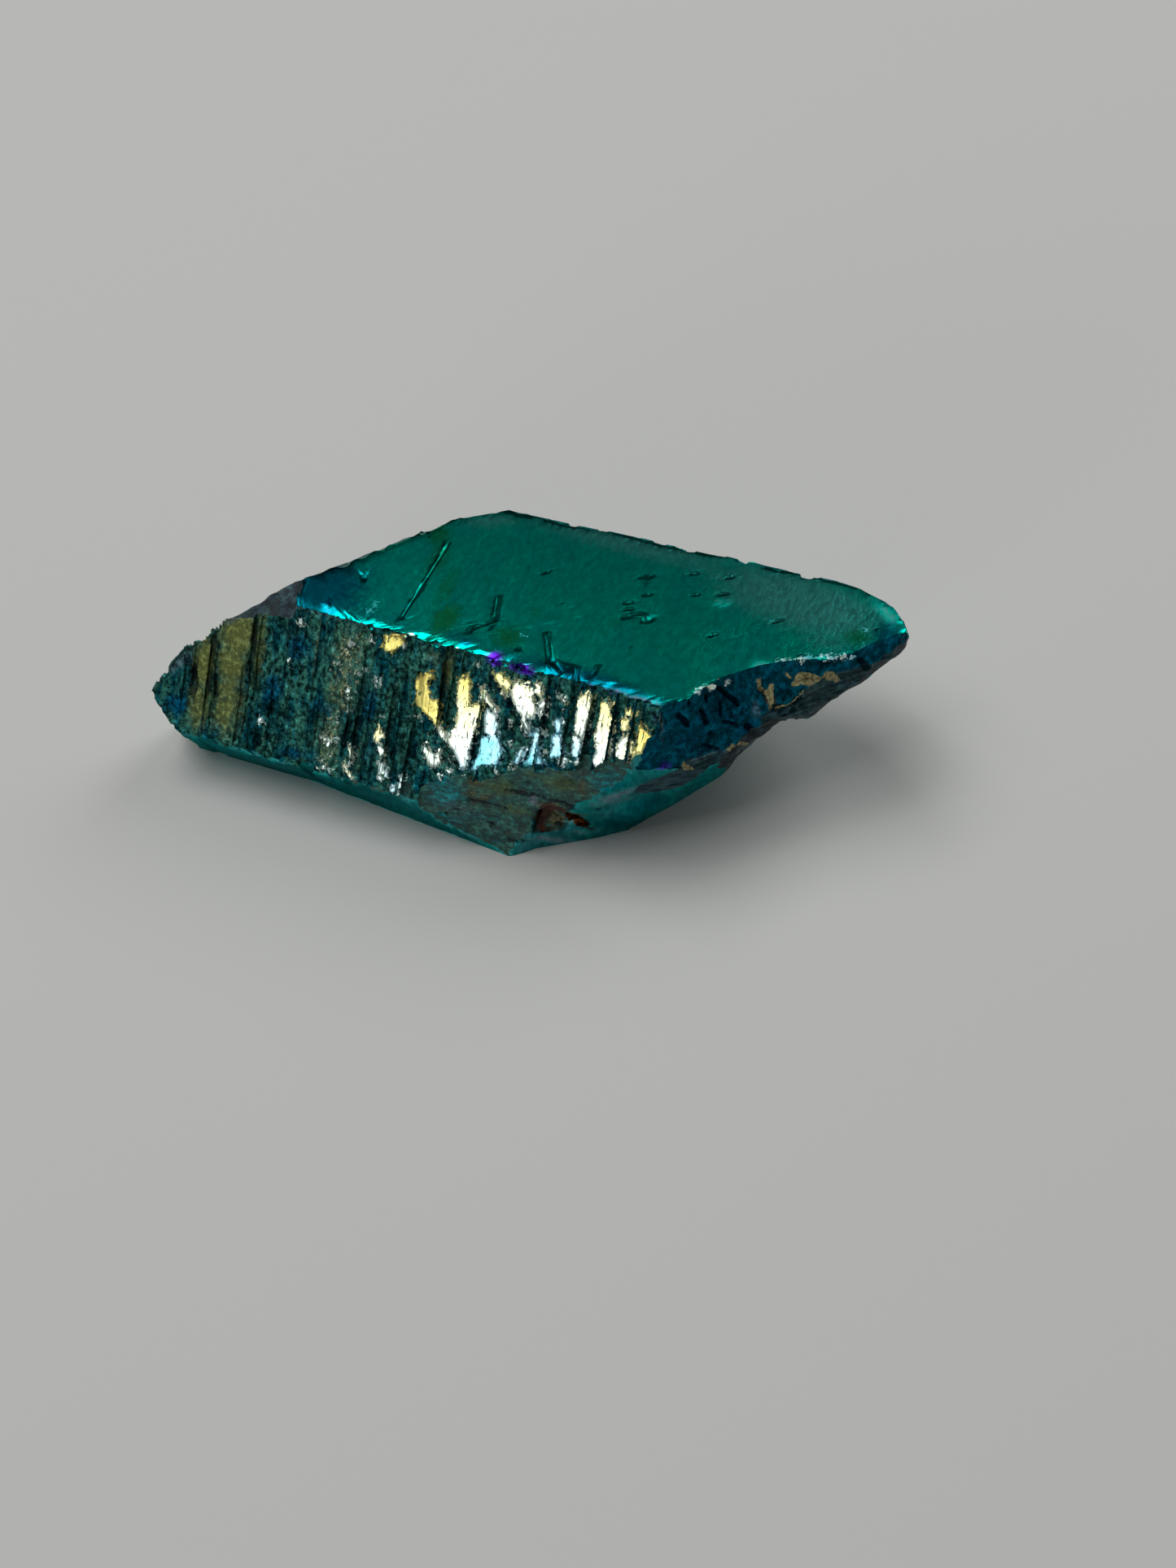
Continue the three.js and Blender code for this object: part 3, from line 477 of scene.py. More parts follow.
# Soft patches of colour on each face: x, y, half width, half height, turn in degrees and strength.
WASHES = {
    "upper": {
        "blue": (
            (-14.5, 3.5, 3.2, 3.4, 20, 1), (-11.5, 2.3, 4, .9, 0, .5), (3, 1.9, 5, .9, -3, 1),
            (-1.8, 2.1, 2.5, .6, 0, .6), (-5, 2.5, 1.3, .6, 0, .6), (-4.7, 2.3, .4, .45, 0, 1),
            (17.6, 11, .9, 1.4, 10, .8), (-4, 11.3, .9, .5, 0, .35),
        ),
        "olive": (
            (-9.5, 9.8, .8, 1.2, 12, .8), (-8.8, 8, .8, 1.6, 6, .6), (-7.4, 6, .6, 2, 4, .6),
            (-6.5, 3.6, .8, 1.4, 0, 1), (-2.6, 3.5, 1, 1, 0, .8), (-1.9, 6, .5, 1, 10, .4),
            (-5.3, 7.4, .5, 1.2, 10, .3), (5.2, 6, 1.2, 1, 0, .3), (16, 10.4, .9, .6, 20, .8),
        ),
        "grey": (
            (12, 12, 5, 2.2, -4, 1), (1, 13.2, 7, 1.1, 0, .8), (-7, 12.1, 2, .7, 25, .7),
            (8, 12.6, 4, 1.2, 0, .5), (14.5, 9.6, 1.6, 1, 15, .5), (7.8, 11, .5, 1, 0, .5),
        ),
        "frost": (
            (11.65, 6.15, .45, .5, 45, .8), (17.2, 12.8, 1, .35, -35, .4), (5, 1.6, 2.4, .25, 0, .5),
            (8, 10.3, .35, .25, 0, .4),
        ),
        "dark": (
            # The first dark patch is painted shadow in a notch near the point.
            (17.2, 8.9, .6, .5, 20, .7), (-2.6, 9.8, .7, 1.2, 0, .15), (4.3, 8, 2.2, 1.8, 0, .12),
        ),
        "violet": (
            (-2.75, 1.85, .5, .5, 0, 1), (-1, 1.65, .8, .25, 0, .9), (-13.3, 2.3, .2, .5, 15, .35),
            (3.6, 1.6, 1.4, .2, 0, .35),
        ),
    },
    "striated": {
        "olive": (
            (-18.4, 2.6, 1.3, 2, 0, 1), (-18.6, 4.6, 1, 1.5, 0, 1), (-20.3, 5, .8, 1.9, 0, 1),
            (-20.3, 7.6, .8, 1.8, 0, .8), (-18.6, 7, 1.1, 2.4, 0, .8), (-17.1, 3, .45, 2.8, 0, .7),
            (-19.6, 3.2, .6, .9, 30, .6), (-11.4, 2, 1.2, 2, 0, .45), (-11.7, 4.6, 1, 1.6, 0, .5),
            (-12, 7.6, .9, 1.8, 0, .5), (-5.35, 1.6, .35, 1.5, 0, .7), (-9.9, 7.8, .2, 1.8, 0, .45),
            (-6.3, .9, 1, .6, 0, .35), (-13.4, 2.3, .15, 2.3, 0, .5),
        ),
        "blue": (
            (-21.8, 8.1, .8, .7, 0, 1), (-14.6, 2.6, .9, .9, 0, .8), (-15.9, 5.6, .7, 1.3, 0, .8),
            (-12.7, 5.7, .7, .6, 0, .6), (-9.8, 4.7, .5, 1, 0, .8), (-14, 9, .8, .4, 0, .8),
            (-16.6, 7.6, .5, 1, 0, .5), (-9.4, 7.5, .35, 1.4, 0, .5), (-3.8, 8.5, 1.6, 1, 0, .5),
            (1.3, 5.4, 1.6, .3, -12, .8), (6.5, 4.8, 1.6, .7, -15, .7),
        ),
        "grain": (
            (-11.4, 3, 1.1, 3.2, 0, .75), (-12, 7.6, .8, 2.2, 0, .8), (-9, 1.1, .8, 1, 0, .5),
            (-15, 2, 3, 3, 0, .2), (-15.5, 8, 2, 1.6, 0, .25), (-6.3, 3, .8, 1.6, 0, .5),
            (1.65, 1.6, .55, 1, 0, .75), (-.9, 3.9, .8, 1.2, 0, .3), (-4.4, 7, 1, .7, 0, .6),
            (-2, 1.6, 1, .8, 0, .35), (-5.6, 6, .8, .8, 0, .5), (.9, 2.2, .3, 1.8, 0, .3),
            (-7.4, 5.5, .6, 4, 0, .12), (-8.3, 3, .8, 2, 0, .3),
        ),
        "violet": (
            (-2.75, .05, .5, .4, 0, 1), (-1, .15, .8, .3, 0, .9), (7.9, 3.55, .45, .3, 0, .9),
            (3.5, 5.2, .4, .3, 0, .3), (7.1, .8, .4, .5, 0, .25),
        ),
        "frost": (
            (-17, .4, 1.3, .35, -15, .7), (-21.8, 5.2, .5, 1.2, 35, .6), (-13, .1, 4, .18, 0, .5),
            (-19, 2, .8, .3, -35, .6),
        ),
        "brown": (
            (6.2, 4, 1.4, .18, -27, 1), (7.35, 2.6, .16, .9, 0, .9), (7.4, 1, .3, .6, 0, .4),
        ),
        "dark": (
            (-21, 5.8, .35, .8, 0, .8), (-15.9, 6.7, .6, .5, 0, .7), (-14.7, 6.8, .5, .4, 0, .7),
            (-16.4, 8.9, .5, .7, 0, .8), (-15.6, 1.2, 1.2, .5, 0, .6), (-13.3, 6.3, .5, .4, 0, .6),
            (-7.4, 7, .7, 1.8, 0, .5), (-1.1, 3.6, .55, 1, -20, .7), (-2.4, 1.7, .5, .4, -30, .6),
            (-9, 8.7, .4, .5, 0, .7), (7, .6, .4, .3, 0, .6), (-4.5, 6.6, .5, .7, 0, .5),
        ),
    },
    "front_dark": {
        "blue": (
            (4.37, 1.85, 1.4, 1, 30, .5), (1.12, 2.79, 1.2, 1.2, 0, .4), (5.26, 3.48, .8, .7, 0, .7),
            (10.53, 2.83, 1, .25, -8, 1),
        ),
        "dark": (
            (3.79, 1.28, 1.8, 1, 20, .5), (9.92, .4, 1.2, .4, 8, .7), (7.52, 1.8, .6, .6, 0, .5),
            (2.83, 3.37, 1.4, .6, 0, .4),
        ),
        "frost": (
            (2.63, 4.8, 1.1, .3, 0, .8), (5.94, 6.25, 1, .25, -10, .7), (5.79, 2.27, .35, .7, 0, .4),
            (-.11, 1.39, .12, 1.4, 0, .5),
        ),
        "brown": (
            (6.73, 2.13, .35, .5, 0, .8), (1.6, 4.67, .5, .25, 20, .5),
        ),
        "violet": (
            (.03, 4.36, .5, .3, 25, .6), (2.21, 4.21, .6, .2, 0, .3),
        ),
    },
    "wall": {
        "brown": (
            (-1.79, -5.24, .5, .6, 20, .8), (-2.1, -4.39, .5, .35, 0, .7), (4.58, -6.2, .5, .6, 0, .5),
            (2.82, -2.41, .6, .5, 0, .9), (2.52, -4.38, .9, .35, 0, .8), (4.13, -3.61, .7, .25, 20, .8),
            (-.7, -6.01, .5, .3, 0, .4), (3.61, -7.27, 1.4, .3, 0, .5), (-1.9, -5.4, .3, .7, 30, .9),
            (-1.5, -4, .9, .3, -35, .8), (4.4, -6.1, .3, .8, 0, .8),
        ),
        "olive": (
            (-.4, -5.2, 1.2, .8, 0, .7), (.59, -3.54, 1.2, .6, 0, .6), (3.17, -6.17, 1.2, .8, 0, .7),
            (1.48, -6.53, 1, .4, 0, .5),
        ),
        "blue": (
            (-3.6, -4.21, 1.2, 1.2, 0, .9), (-2.99, -2.26, 2, .8, -15, .5), (5.9, -6.8, 1.4, .8, 0, .9),
            (6.62, -1.58, 2.2, 1, 25, .9), (3.98, -1.92, .7, .3, -20, .6), (-.53, -2.25, 1.6, .8, 0, .3),
            (6.1, -7, .8, .7, 10, 1), (7.9, -3.2, 1.6, 1.4, 25, 1), (6.3, -2, 1, 1.2, 0, .9),
        ),
        "frost": (
            (2.24, -.9, 1.6, .25, 25, .9), (1.63, -4.63, .35, .35, 0, .8),
            (-2.96, -3.17, 1.4, .6, 10, .4), (4.33, -1.3, .8, .2, 15, .6), (5.86, -4.59, 1.6, .5, 10, .5),
            (-.63, -1.88, 1.2, .6, 0, .3), (6.4, -5.4, 1.3, .45, -20, .8),
        ),
        "dark": (
            (1.75, -2.5, .18, 1, 0, 1), (3.21, -4.11, 1.2, .15, -12, 1), (2.11, -1.87, .6, .2, 0, .8),
            (.74, -2.36, .25, .3, 0, .8), (5.15, -3.85, .4, .2, 15, .8),
        ),
        "ochre": (
            (2.8, -2.7, .8, .7, 0, 1), (2.5, -4.35, .25, .2, 0, .9),
        ),
        "violet": (
            (8.1, -8.2, .3, .2, 0, .6), (8.7, -7.8, .35, .25, 0, .8),
        ),
    },
}

# Dark growth lines, cracks and slits.
DARK_LINES = {
    "upper": (
        Line(.1, ((-9, 9.6), (-8.94, 6.9), (-8.62, 5.4), (-8.87, 4.1), (-9.06, 2.25))),
        Line(.13, ((-4.19, 6.37), (-3.94, 5.25), (-3.62, 4.25), (-3.87, 3.6))),
        Line(.17, ((-.5, 4.5), (-.31, 3.87), (-.12, 3.25), (.31, 2.62), (.87, 2.25))),
        Line(.15, ((1.12, 2.7), (1.75, 2.8), (2, 2.4), (2.1, 1.75))),
        Line(.13, ((2.94, 3.4), (2.9, 2.9), (2.96, 2.4))), Line(.1, ((.9, 2.2), (1.2, 1.7))),
        Line(.16, ((-4.87, 3.55), (-4.8, 3.1))), Line(.13, ((-13.35, 2.7), (-13.1, 2.1))),
        Line(.08, ((-3.7, 9.3), (-3.45, 8.7))), Line(.07, ((-3.3, 6.9), (-2.9, 5.9))),
        Line(.08, ((-12.4, 5.4), (-12.1, 4.7))), Line(.08, ((4.1, 5.6), (4.2, 4.8))),
        Line(.1, ((-5.3, 3.6), (-4.9, 3.9), (-4.2, 3.9))), Line(.08, ((-10.1, 9.7), (-9.95, 9.3))),
        Line(.08, ((3.1, 10.9), (3, 10.2))), Line(.08, ((3.35, 10.9), (3.5, 10.6), (3.3, 10.1))),
    ),
    "striated": (
        Line(.12, ((-10.85, 6.12), (-10.9, 7.31), (-10.99, 8.32))), Line(.1, ((2.5, 3.15), (3.3, 3.15))),
        Line(.2, ((-10.29, 5.88), (-10.36, 6.42), (-10.35, 7.19), (-10.22, 8.16), (-10.07, 9.12))),
        Line(.18, ((-8.22, 5.32), (-8.35, 6.12), (-8.26, 7.37))),
        Line(.14, ((-6.75, 6.59), (-6.76, 7.21))),
        Line(.16, ((-3.07, 3.72), (-3.08, 4.61), (-3.1, 5.38), (-3.13, 6.29))),
        Line(.11, ((.1, 4.65), (-.13, 5.62))), Line(.11, ((.22, 3.41), (.19, 4.01))),
        Line(.23, ((3.3, .96), (3.3, 2.05), (3.29, 3.11), (3.3, 4.14))),
        Line(.23, ((4.75, 1.43), (4.88, 2.4), (5.01, 3.84))), Line(.14, ((5.8, 1.34), (5.88, 2.32))),
        Line(.09, ((3.86, 3.07), (4.25, 3.85))), Line(.09, ((-2.25, 4.55), (-1.85, 5.2))),
        Line(.15, ((-6.29, 4.46), (-5.64, 4.93), (-4.92, 5.69), (-4.03, 6.34))),
        Line(.23, ((-5.75, .4), (-5.59, 1.98), (-5.52, 3.32), (-5.38, 4.31))),
        Line(.14, ((.68, 1.53), (.74, 2.82), (.7, 3.8))), Line(.16, ((-5.9, 8), (-5.8, 9.3))),
        Line(.2, ((-2.9, 1), (-1.9, 1.9), (-.9, 2.7), (-.1, 3.9))),
        Line(.14, ((-17.5, 1.4), (-17.35, 3.4))), Line(.12, ((-19.85, 3), (-19.8, 5), (-19.8, 7))),
        Line(.14, ((-19.5, 5.6), (-19.45, 6.8))), Line(.1, ((-17.5, 4.3), (-17.35, 4.8))),
        Line(.12, ((-20.75, 5), (-20.75, 7.4))),
    ),
    "front_dark": (
        Line(.2, ((.99, .98), (1.32, 1.53), (1.54, 1.86))),
        Line(.22, ((2.43, 1.15), (2.56, 1.69), (2.67, 2.11))),
        Line(.18, ((3.82, .42), (4.23, .94), (4.52, 1.33))), Line(.2, ((4.62, 1.33), (4.8, 1.7))),
        Line(.18, ((3.6, 2.35), (4.13, 2.69), (4.6, 3.1))), Line(.26, ((5.13, 3.24), (6.63, 5.58))),
        Line(.14, ((3.74, 1.28), (3.61, 1.96))), Line(.14, ((2.47, 3.73), (3.43, 4.58))),
        Line(.2, ((6.28, 1.3), (6.57, 1.63))), Line(.16, ((6.8, 2.49), (7.42, 2.7))),
        Line(.1, ((7.24, 2.98), (7.89, 2.71), (8.5, 2.47))), Line(.2, ((12.24, 1.05), (12.81, 1.86))),
    ),
    "wall": (
        Line(.13, ((0, -5.01), (.79, -5.04), (2.01, -4.97), (3.31, -4.73), (4.43, -4.1))),
        Line(.12, ((-1, -5.91), (-.3, -5.88))), Line(.14, ((0, -.9), (.8, -1.04), (1.42, -1.04))),
        Line(.1, ((-2.33, -3.88), (-1.01, -3.56), (-.02, -3.4))),
    ),
}

# Dark spots: x, y, half width, half height and turn in degrees.
DARK_SPOTS = {
    "upper": (
        (2.84, 8.44, .16, .3, 10), (3.15, 7.6, .16, .42, 5), (4.35, 7.55, .42, .3, -35),
        (3.9, 7.9, .5, .22, 0), (3.65, 9.4, .2, .12, 0), (8.25, 7.7, .17, .3, 0),
        (6.27, 10.45, .16, .13, 0), (7.75, 11.05, .22, .2, 0), (7.7, 12.5, .16, .22, 0),
        (11.35, 10.15, .14, .22, 0), (5.65, 12.1, .2, .16, 20), (12.4, 12.4, .12, .1, 0),
        (-1.85, 2.9, .14, .2, 0), (-.7, 7, .12, .24, -20), (13.3, 7.95, .22, .16, 0),
        (12.6, 8.6, .1, .34, 15), (16.9, 11.5, .14, .4, -20), (9.6, 8.2, .12, .12, 0),
        (-10, 9.5, .07, .16, 0), (-9.6, 6.6, .1, .1, 0), (-12.25, 5, .12, .26, 15), (2, 11, .3, .14, 0),
        (16.2, 9.4, .2, .14, 0),
    ),
    "striated": (
        (4.4, 2.98, .15, .1, 0), (2.98, 2.75, .08, .06, 0), (-3.9, 2.3, .08, .05, 0),
        (-3.6, 3.6, .07, .05, 0), (-3.9, 4.55, .08, .06, 0), (.2, 1.75, .16, .1, 0),
        (4.3, 2.4, .1, .05, 0), (5.2, 2.3, .2, .14, 0), (-21.4, 5.2, .25, .14, 30), (-21.5, 7, .2, .2, 0),
    ),
    "front_dark": (
        (1.71, .41, .12, .2, 0), (2.93, .64, .14, .32, 0), (8.07, 3.22, .24, .2, 0),
        (7.5, 3.42, .2, .1, 0), (8.71, 3.12, .16, .14, 0), (9.15, 1.33, .38, .1, 22),
        (5.45, 5.92, .3, .08, 10), (7.01, 3.55, .14, .08, 0), (3.93, .63, .2, .1, 30),
        (.77, 4.82, .2, .12, 0), (2.91, 2.96, .2, .14, 0),
    ),
    "wall": (
        (1.28, -5.73, .3, .1, 12), (-2.95, -3, .25, .1, 0), (-3.67, -2.5, .16, .1, 0),
        (-1.04, -2.03, .25, .12, 20), (.29, -5.55, .14, .1, 0), (1.31, -3.63, .12, .14, 0),
        (4.29, -4.83, .12, .08, 0), (-.42, -1.59, .12, .1, 0),
    ),
}

# Pale bare quartz where the film came off.
FLAKES = {
    "front_dark": (
        (
            (6.09, .61), (6.39, .6), (6.34, 1.1), (6.58, 1.49), (6.78, 1.18), (7.06, 1.1), (7, 1.75),
            (6.92, 2.3), (6.7, 2.58), (6.49, 2.47), (6.61, 1.86), (6.47, 1.63), (6.18, 1.3),
        ),
        ((7.65, .47), (7.75, .46), (8.14, 1.01), (8, 1.07)),
        (
            (8.05, 1.42), (8.47, .82), (8.74, .78), (9.29, .97), (9.89, 1.46), (9.69, 1.62), (9, 1.74),
            (8.56, 1.51), (8.19, 1.61),
        ),
        (
            (9.95, 1.02), (10.23, 1.04), (10.72, 1.45), (11.15, 2.12), (10.87, 2.24), (10.38, 1.84),
            (10.03, 1.72),
        ),
        ((3.84, 4.69), (4.22, 4.19), (5.77, 5.68), (6.4, 6.16), (6.06, 6.21), (5.44, 5.85), (4.14, 4.84)),
        ((1.08, 4.74), (1.27, 4.52), (1.88, 5.29), (2.05, 5.67), (1.41, 5.47)),
        (
            (6.81, 2.54), (7.51, 2.65), (8.16, 2.32), (8.63, 1.92), (8.72, 2.02), (8.18, 2.54),
            (7.63, 2.82), (7.02, 2.76),
        ),
    ),
    "upper": (
        ((8.75, 3.35), (8.95, 3.35), (8.95, 3.5), (8.75, 3.5)),
        ((9.35, 3.85), (9.6, 3.8), (9.65, 4), (9.4, 4.05)),
        ((11.4, 6), (11.7, 6.1), (11.95, 6.45), (11.6, 6.3)),
    ),
}

# Rough pale quartz along the rim, with no film on it.
BARE = {
    "front_dark": (
        (
            (6.08, 3.6), (5.99, 3.24), (6.1, 2.84), (6.37, 2.64), (6.81, 2.54), (7.51, 2.65),
            (8.16, 2.26), (8.72, 1.91), (9.69, 1.62), (9.98, 1.2), (10.35, 1.16), (11.04, 1.53),
            (12.36, 1.54), (13.34, 1.66), (13.81, 1.23), (14.35, 1.05), (14.95, .66), (15.6, 3), (12, 6),
            (9, 6), (7, 5), (6.3, 4.4),
        ),
        (
            (-.12, 5.14), (.71, 5), (1.08, 4.74), (1.62, 4.8), (2.61, 4.66), (3.76, 4.83), (4.26, 4.46),
            (4.9, 5.2), (4.8, 6.3), (3.84, 6.36), (3.31, 6.69), (2.37, 6.77), (1.27, 6.96), (.38, 7.26),
            (-.5, 6.4),
        ),
    ),
    "wall": (
        (
            (7.5, -6.1), (8.73, -6.8), (9.52, -7.17), (9.82, -7.48), (10.24, -7.44), (11.07, -7.65),
            (12.01, -7.55), (12.3, -6), (11.86, -5.78), (11.37, -5.36), (10.62, -5.23), (9.71, -5.1),
            (8.81, -4.9), (8, -4.9), (7.2, -5.1),
        ),
    ),
}

# The pocket in the broken wall, stained dark brown.
POCKETS = {
    "wall": (
        (
            (1.81, -3.6), (2.07, -4.4), (2.42, -4.69), (2.86, -4.37), (3.41, -4.25), (4.31, -3.55),
            (4.58, -2.34), (5.08, -1.25), (4.71, -1.34), (4.17, -1.88), (3.6, -2.1), (3.6, -3.15),
            (3.2, -3.7), (2.7, -3.4), (2.3, -2.33), (2.04, -2.13), (2.26, -1.91), (2.85, -1.68),
            (2.2, -1.71), (1.79, -1.91), (1.64, -2.5),
        ),
    ),
}

# Small painted glints of bright film colour: x, y, half width and film order.
SPARKLES = {
    "upper": (
        (14.65, 8.35, .14, .7), (15.15, 8.45, .14, .7), (15.7, 8.6, .14, .65), (16.15, 8.8, .14, .7),
        (13.9, 7.95, .12, .85), (13, 7.4, .1, .65), (12.4, 7.1, .08, .7), (16.7, 9.9, .16, .92),
        (17.1, 9.7, .16, .85), (16.8, 9.5, .12, .95), (16.2, 11.1, .1, .85), (-10.7, 3.2, .1, .9),
        (-10.9, 2.6, .1, .9), (-1.8, 4, .1, .92), (-5.1, 1.55, .16, .6), (-8, 1.65, .16, .6),
        (8.85, 3.4, .13, .65), (9.45, 3.9, .15, .55), (10, 4.6, .08, .6), (13.5, 7.6, .1, .6),
    ),
    "striated": (
        (-14.65, 1, .13, .6), (-10.2, .85, .12, .6), (-16.35, 7.6, .13, .62), (-15, 3.5, .1, .6),
        (.75, 3.5, .1, .6), (-3.85, 7.85, .12, .6), (-4.85, 7.9, .12, .6), (-1.45, 6.65, .1, .6),
        (2.3, 4.8, .14, .62), (-4.3, 7.3, .14, .6), (-3.5, 7.6, .14, .62), (8.2, 3.65, .14, .3),
        (7.9, .9, .1, .6), (-10.34, 2.76, .08, .6), (-9.49, 3.13, .06, .6), (-9.47, 3.33, .07, .6),
        (-9.45, 3.53, .06, .6), (-8.95, 5.24, .07, .6), (-11.25, 4.32, .05, .6), (-11.1, 4.68, .07, .6),
        (-10.99, 5.36, .07, .6), (-10.97, 5.56, .06, .6), (-11.53, 7.49, .09, .6),
        (-11.53, 6.22, .05, .6), (-12.06, 8.89, .07, .6), (-11.52, 9.41, .08, .6),
        (-11.95, 9.33, .07, .6), (-12.3, 9.48, .05, .6), (-12.32, 7.46, .08, .6), (-12.09, 7.6, .05, .6),
        (-11.89, 7.91, .06, .6), (-10.66, 3.09, .08, .6), (-11.3, 2.91, .05, .6), (-12.03, 2.86, .06, .6),
        (-6.72, 4.73, .07, .6), (-6.99, 3.19, .09, .6), (-8.25, .64, .1, .6), (-11.4, 1.48, .08, .6),
        (-1.26, 3.43, .07, .6), (-1.12, 3.64, .07, .6), (-.98, 4.7, .07, .6), (-.86, 4.86, .06, .6),
        (.71, 3.67, .08, .6), (-.57, 6, .08, .6), (1.28, 1.14, .08, .6), (1.69, 1.23, .07, .6),
        (1.26, 2.92, .06, .6), (1.85, 2.66, .06, .6), (1.01, 4.72, .07, .6), (-3.74, .66, .07, .6),
        (5.36, 4.7, .08, .6), (5.52, 4.82, .08, .6), (5.95, 4.49, .07, .6), (6, 4.71, .05, .6),
        (-5.81, 6.89, .05, .6), (-4.24, 6.66, .06, .6),
    ),
    "front_dark": (
        (2.42, -.04, .13, .65), (3.32, .13, .16, .55), (4.33, .19, .08, .6), (10.08, .02, .13, .7),
        (10.49, .11, .14, .7), (11.14, .36, .14, .65), (11.64, .47, .13, .7), (8.69, .02, .08, .6),
    ),
}


def on_flat(points, name):
    """Each point's flat place on a face, as two columns in mm."""
    flat = FLATS[name]
    from_start = points - np.array(flat.start, float)
    return np.stack([from_start @ np.array(flat.across), from_start @ np.array(flat.down)], axis=1)


def segment_distance(spots, start, end):
    """How far each flat spot is from a straight piece of line."""
    along = end - start
    part = np.clip((spots - start) @ along / max(along @ along, TINY), 0, 1)
    return np.linalg.norm(spots - start - part[:, None] * along, axis=1)


def outline_distance(spots, outline):
    """How far each flat spot lies inside an outline, in mm: below zero when it is outside."""
    corners = np.array(outline, float)
    inside = np.zeros(len(spots), bool)
    nearest = np.full(len(spots), np.inf)
    for start, end in zip(corners, np.roll(corners, -1, axis=0)):
        nearest = np.minimum(nearest, segment_distance(spots, start, end))
        rise = end[1] - start[1] or 1.0
        beside = start[0] + (spots[:, 1] - start[1]) / rise * (end[0] - start[0])
        crosses = (start[1] > spots[:, 1]) != (end[1] > spots[:, 1])
        inside ^= crosses & (spots[:, 0] < beside)
    return np.where(inside, nearest, -nearest)


def line_distance(spots, line):
    """How far each flat spot lies inside a drawn line that thins out at both ends."""
    places = np.array(line.points, float)
    nearest = np.full(len(spots), np.inf)
    for start, end in zip(places[:-1], places[1:]):
        nearest = np.minimum(nearest, segment_distance(spots, start, end))
    return line.width / 2 - nearest


def turned(spots, x, y, turn):
    """Flat spots seen from a patch's own middle and turn."""
    angle = math.radians(turn)
    shift = spots - np.array([x, y])
    across = shift[:, 0] * math.cos(angle) + shift[:, 1] * math.sin(angle)
    along = shift[:, 1] * math.cos(angle) - shift[:, 0] * math.sin(angle)
    return across, along


WASH_FADE = (0.9, 1.3)  # how fast a soft patch fades from its middle, and how flat its middle is


def wash_strength(spots, wash):
    """How strong a soft patch of colour is at each flat spot."""
    across, along = turned(spots, wash.x, wash.y, wash.turn)
    spread = (across / wash.width) ** 2 + (along / wash.height) ** 2
    rate, power = WASH_FADE
    return wash.strength * np.exp(-rate * spread ** power)


def spot_distance(spots, spot):
    """How far each flat spot lies inside a small oval, in mm."""
    x, y, width, height, turn = spot
    across, along = turned(spots, x, y, turn)
    size = math.sqrt(width * height)
    return size * (1 - np.sqrt((across / width) ** 2 + (along / height) ** 2))


# The marks kept in the mesh: washes run 0 to 1, and edged marks hold their distance inside in mm.
WASH_MARKS = ("olive", "blue", "grey", "violet", "grain", "frost", "brown", "dark", "ochre")
EDGED_MARKS = ("gleam", "line", "flake", "bare", "pocket")
OUTLINED = {"flake": FLAKES, "bare": BARE, "pocket": POCKETS}
FAR = -1.0  # an edged mark where there is none near
PLAIN_ORDER = 0.6  # the film order where nothing shines
SUNK = 0.02  # how far below the upper face its slits and pits lie at least, in mm
HOLLOW_DEPTH = 0.35  # how much of their depth the slits and pits keep
# Painted shade in the upper face's slits and pits, carried by the line mark.
HOLLOW_PAINTED_SHADE = (0.12, -0.25)  # the line mark in a slit or pit, and one triangle beyond its rim
LINE_SPREAD = 0.05  # how far a line's darkness reaches past its sides, in mm


def blank_marks(count):
    """Marks for points that carry none."""
    marks = {kind: np.zeros(count) for kind in WASH_MARKS}
    marks.update({kind: np.full(count, FAR) for kind in EDGED_MARKS})
    marks["order"] = np.full(count, PLAIN_ORDER)
    return marks


def keep_gleam(marks, distance, order):
    """Puts a painted highlight's shape into the marks wherever it lies nearer than the shapes before it."""
    nearer = distance > marks["gleam"]
    marks["gleam"] = np.where(nearer, distance, marks["gleam"])
    marks["order"] = np.where(nearer, order, marks["order"])


def face_marks(points, name):
    """Every mark at the given points of one face."""
    spots = on_flat(points, name)
    marks = blank_marks(len(points))
    for kind, washes in WASHES[name].items():
        for wash in washes:
            marks[kind] = np.maximum(marks[kind], wash_strength(spots, Wash(*wash)))
    for line in DARK_LINES[name]:
        marks["line"] = np.maximum(marks["line"], line_distance(spots, line) + LINE_SPREAD)
    for spot in DARK_SPOTS[name]:
        marks["line"] = np.maximum(marks["line"], spot_distance(spots, spot))
    for kind, shapes in OUTLINED.items():
        for outline in shapes.get(name, ()):
            marks[kind] = np.maximum(marks[kind], outline_distance(spots, outline))
    # Painted glints, in the same mark as the painted ledge highlights.
    for x, y, size, order in SPARKLES.get(name, ()):
        keep_gleam(marks, spot_distance(spots, (x, y, size, size, 0)), order)
    if name == "striated":
        # Painted highlights on the ledges that catch the light.
        for gleam in PAINTED_GLEAMS:
            heights = [place[1] for place in gleam.outline]
            part = np.clip((spots[:, 1] - min(heights)) / (max(heights) - min(heights)), 0, 1)
            order = gleam.first + (gleam.last - gleam.first) * part
            keep_gleam(marks, outline_distance(spots, gleam.outline), order)
    return marks


def paint_shade_in_hollows(points, triangles, labels, line):
    """Paints shade into the slits and pits of the upper face, up to their rims, as the line mark."""
    upper = labels == FACE_INDEX["upper"]
    sunk = points[:, 2] < TOP - SUNK
    rim = np.zeros(len(points), bool)
    rim[triangles[upper & sunk[triangles].any(axis=1)]] = True
    near = upper & rim[triangles].any(axis=1)
    line[near] = np.maximum(line[near], np.where(rim[triangles[near]], *HOLLOW_PAINTED_SHADE))


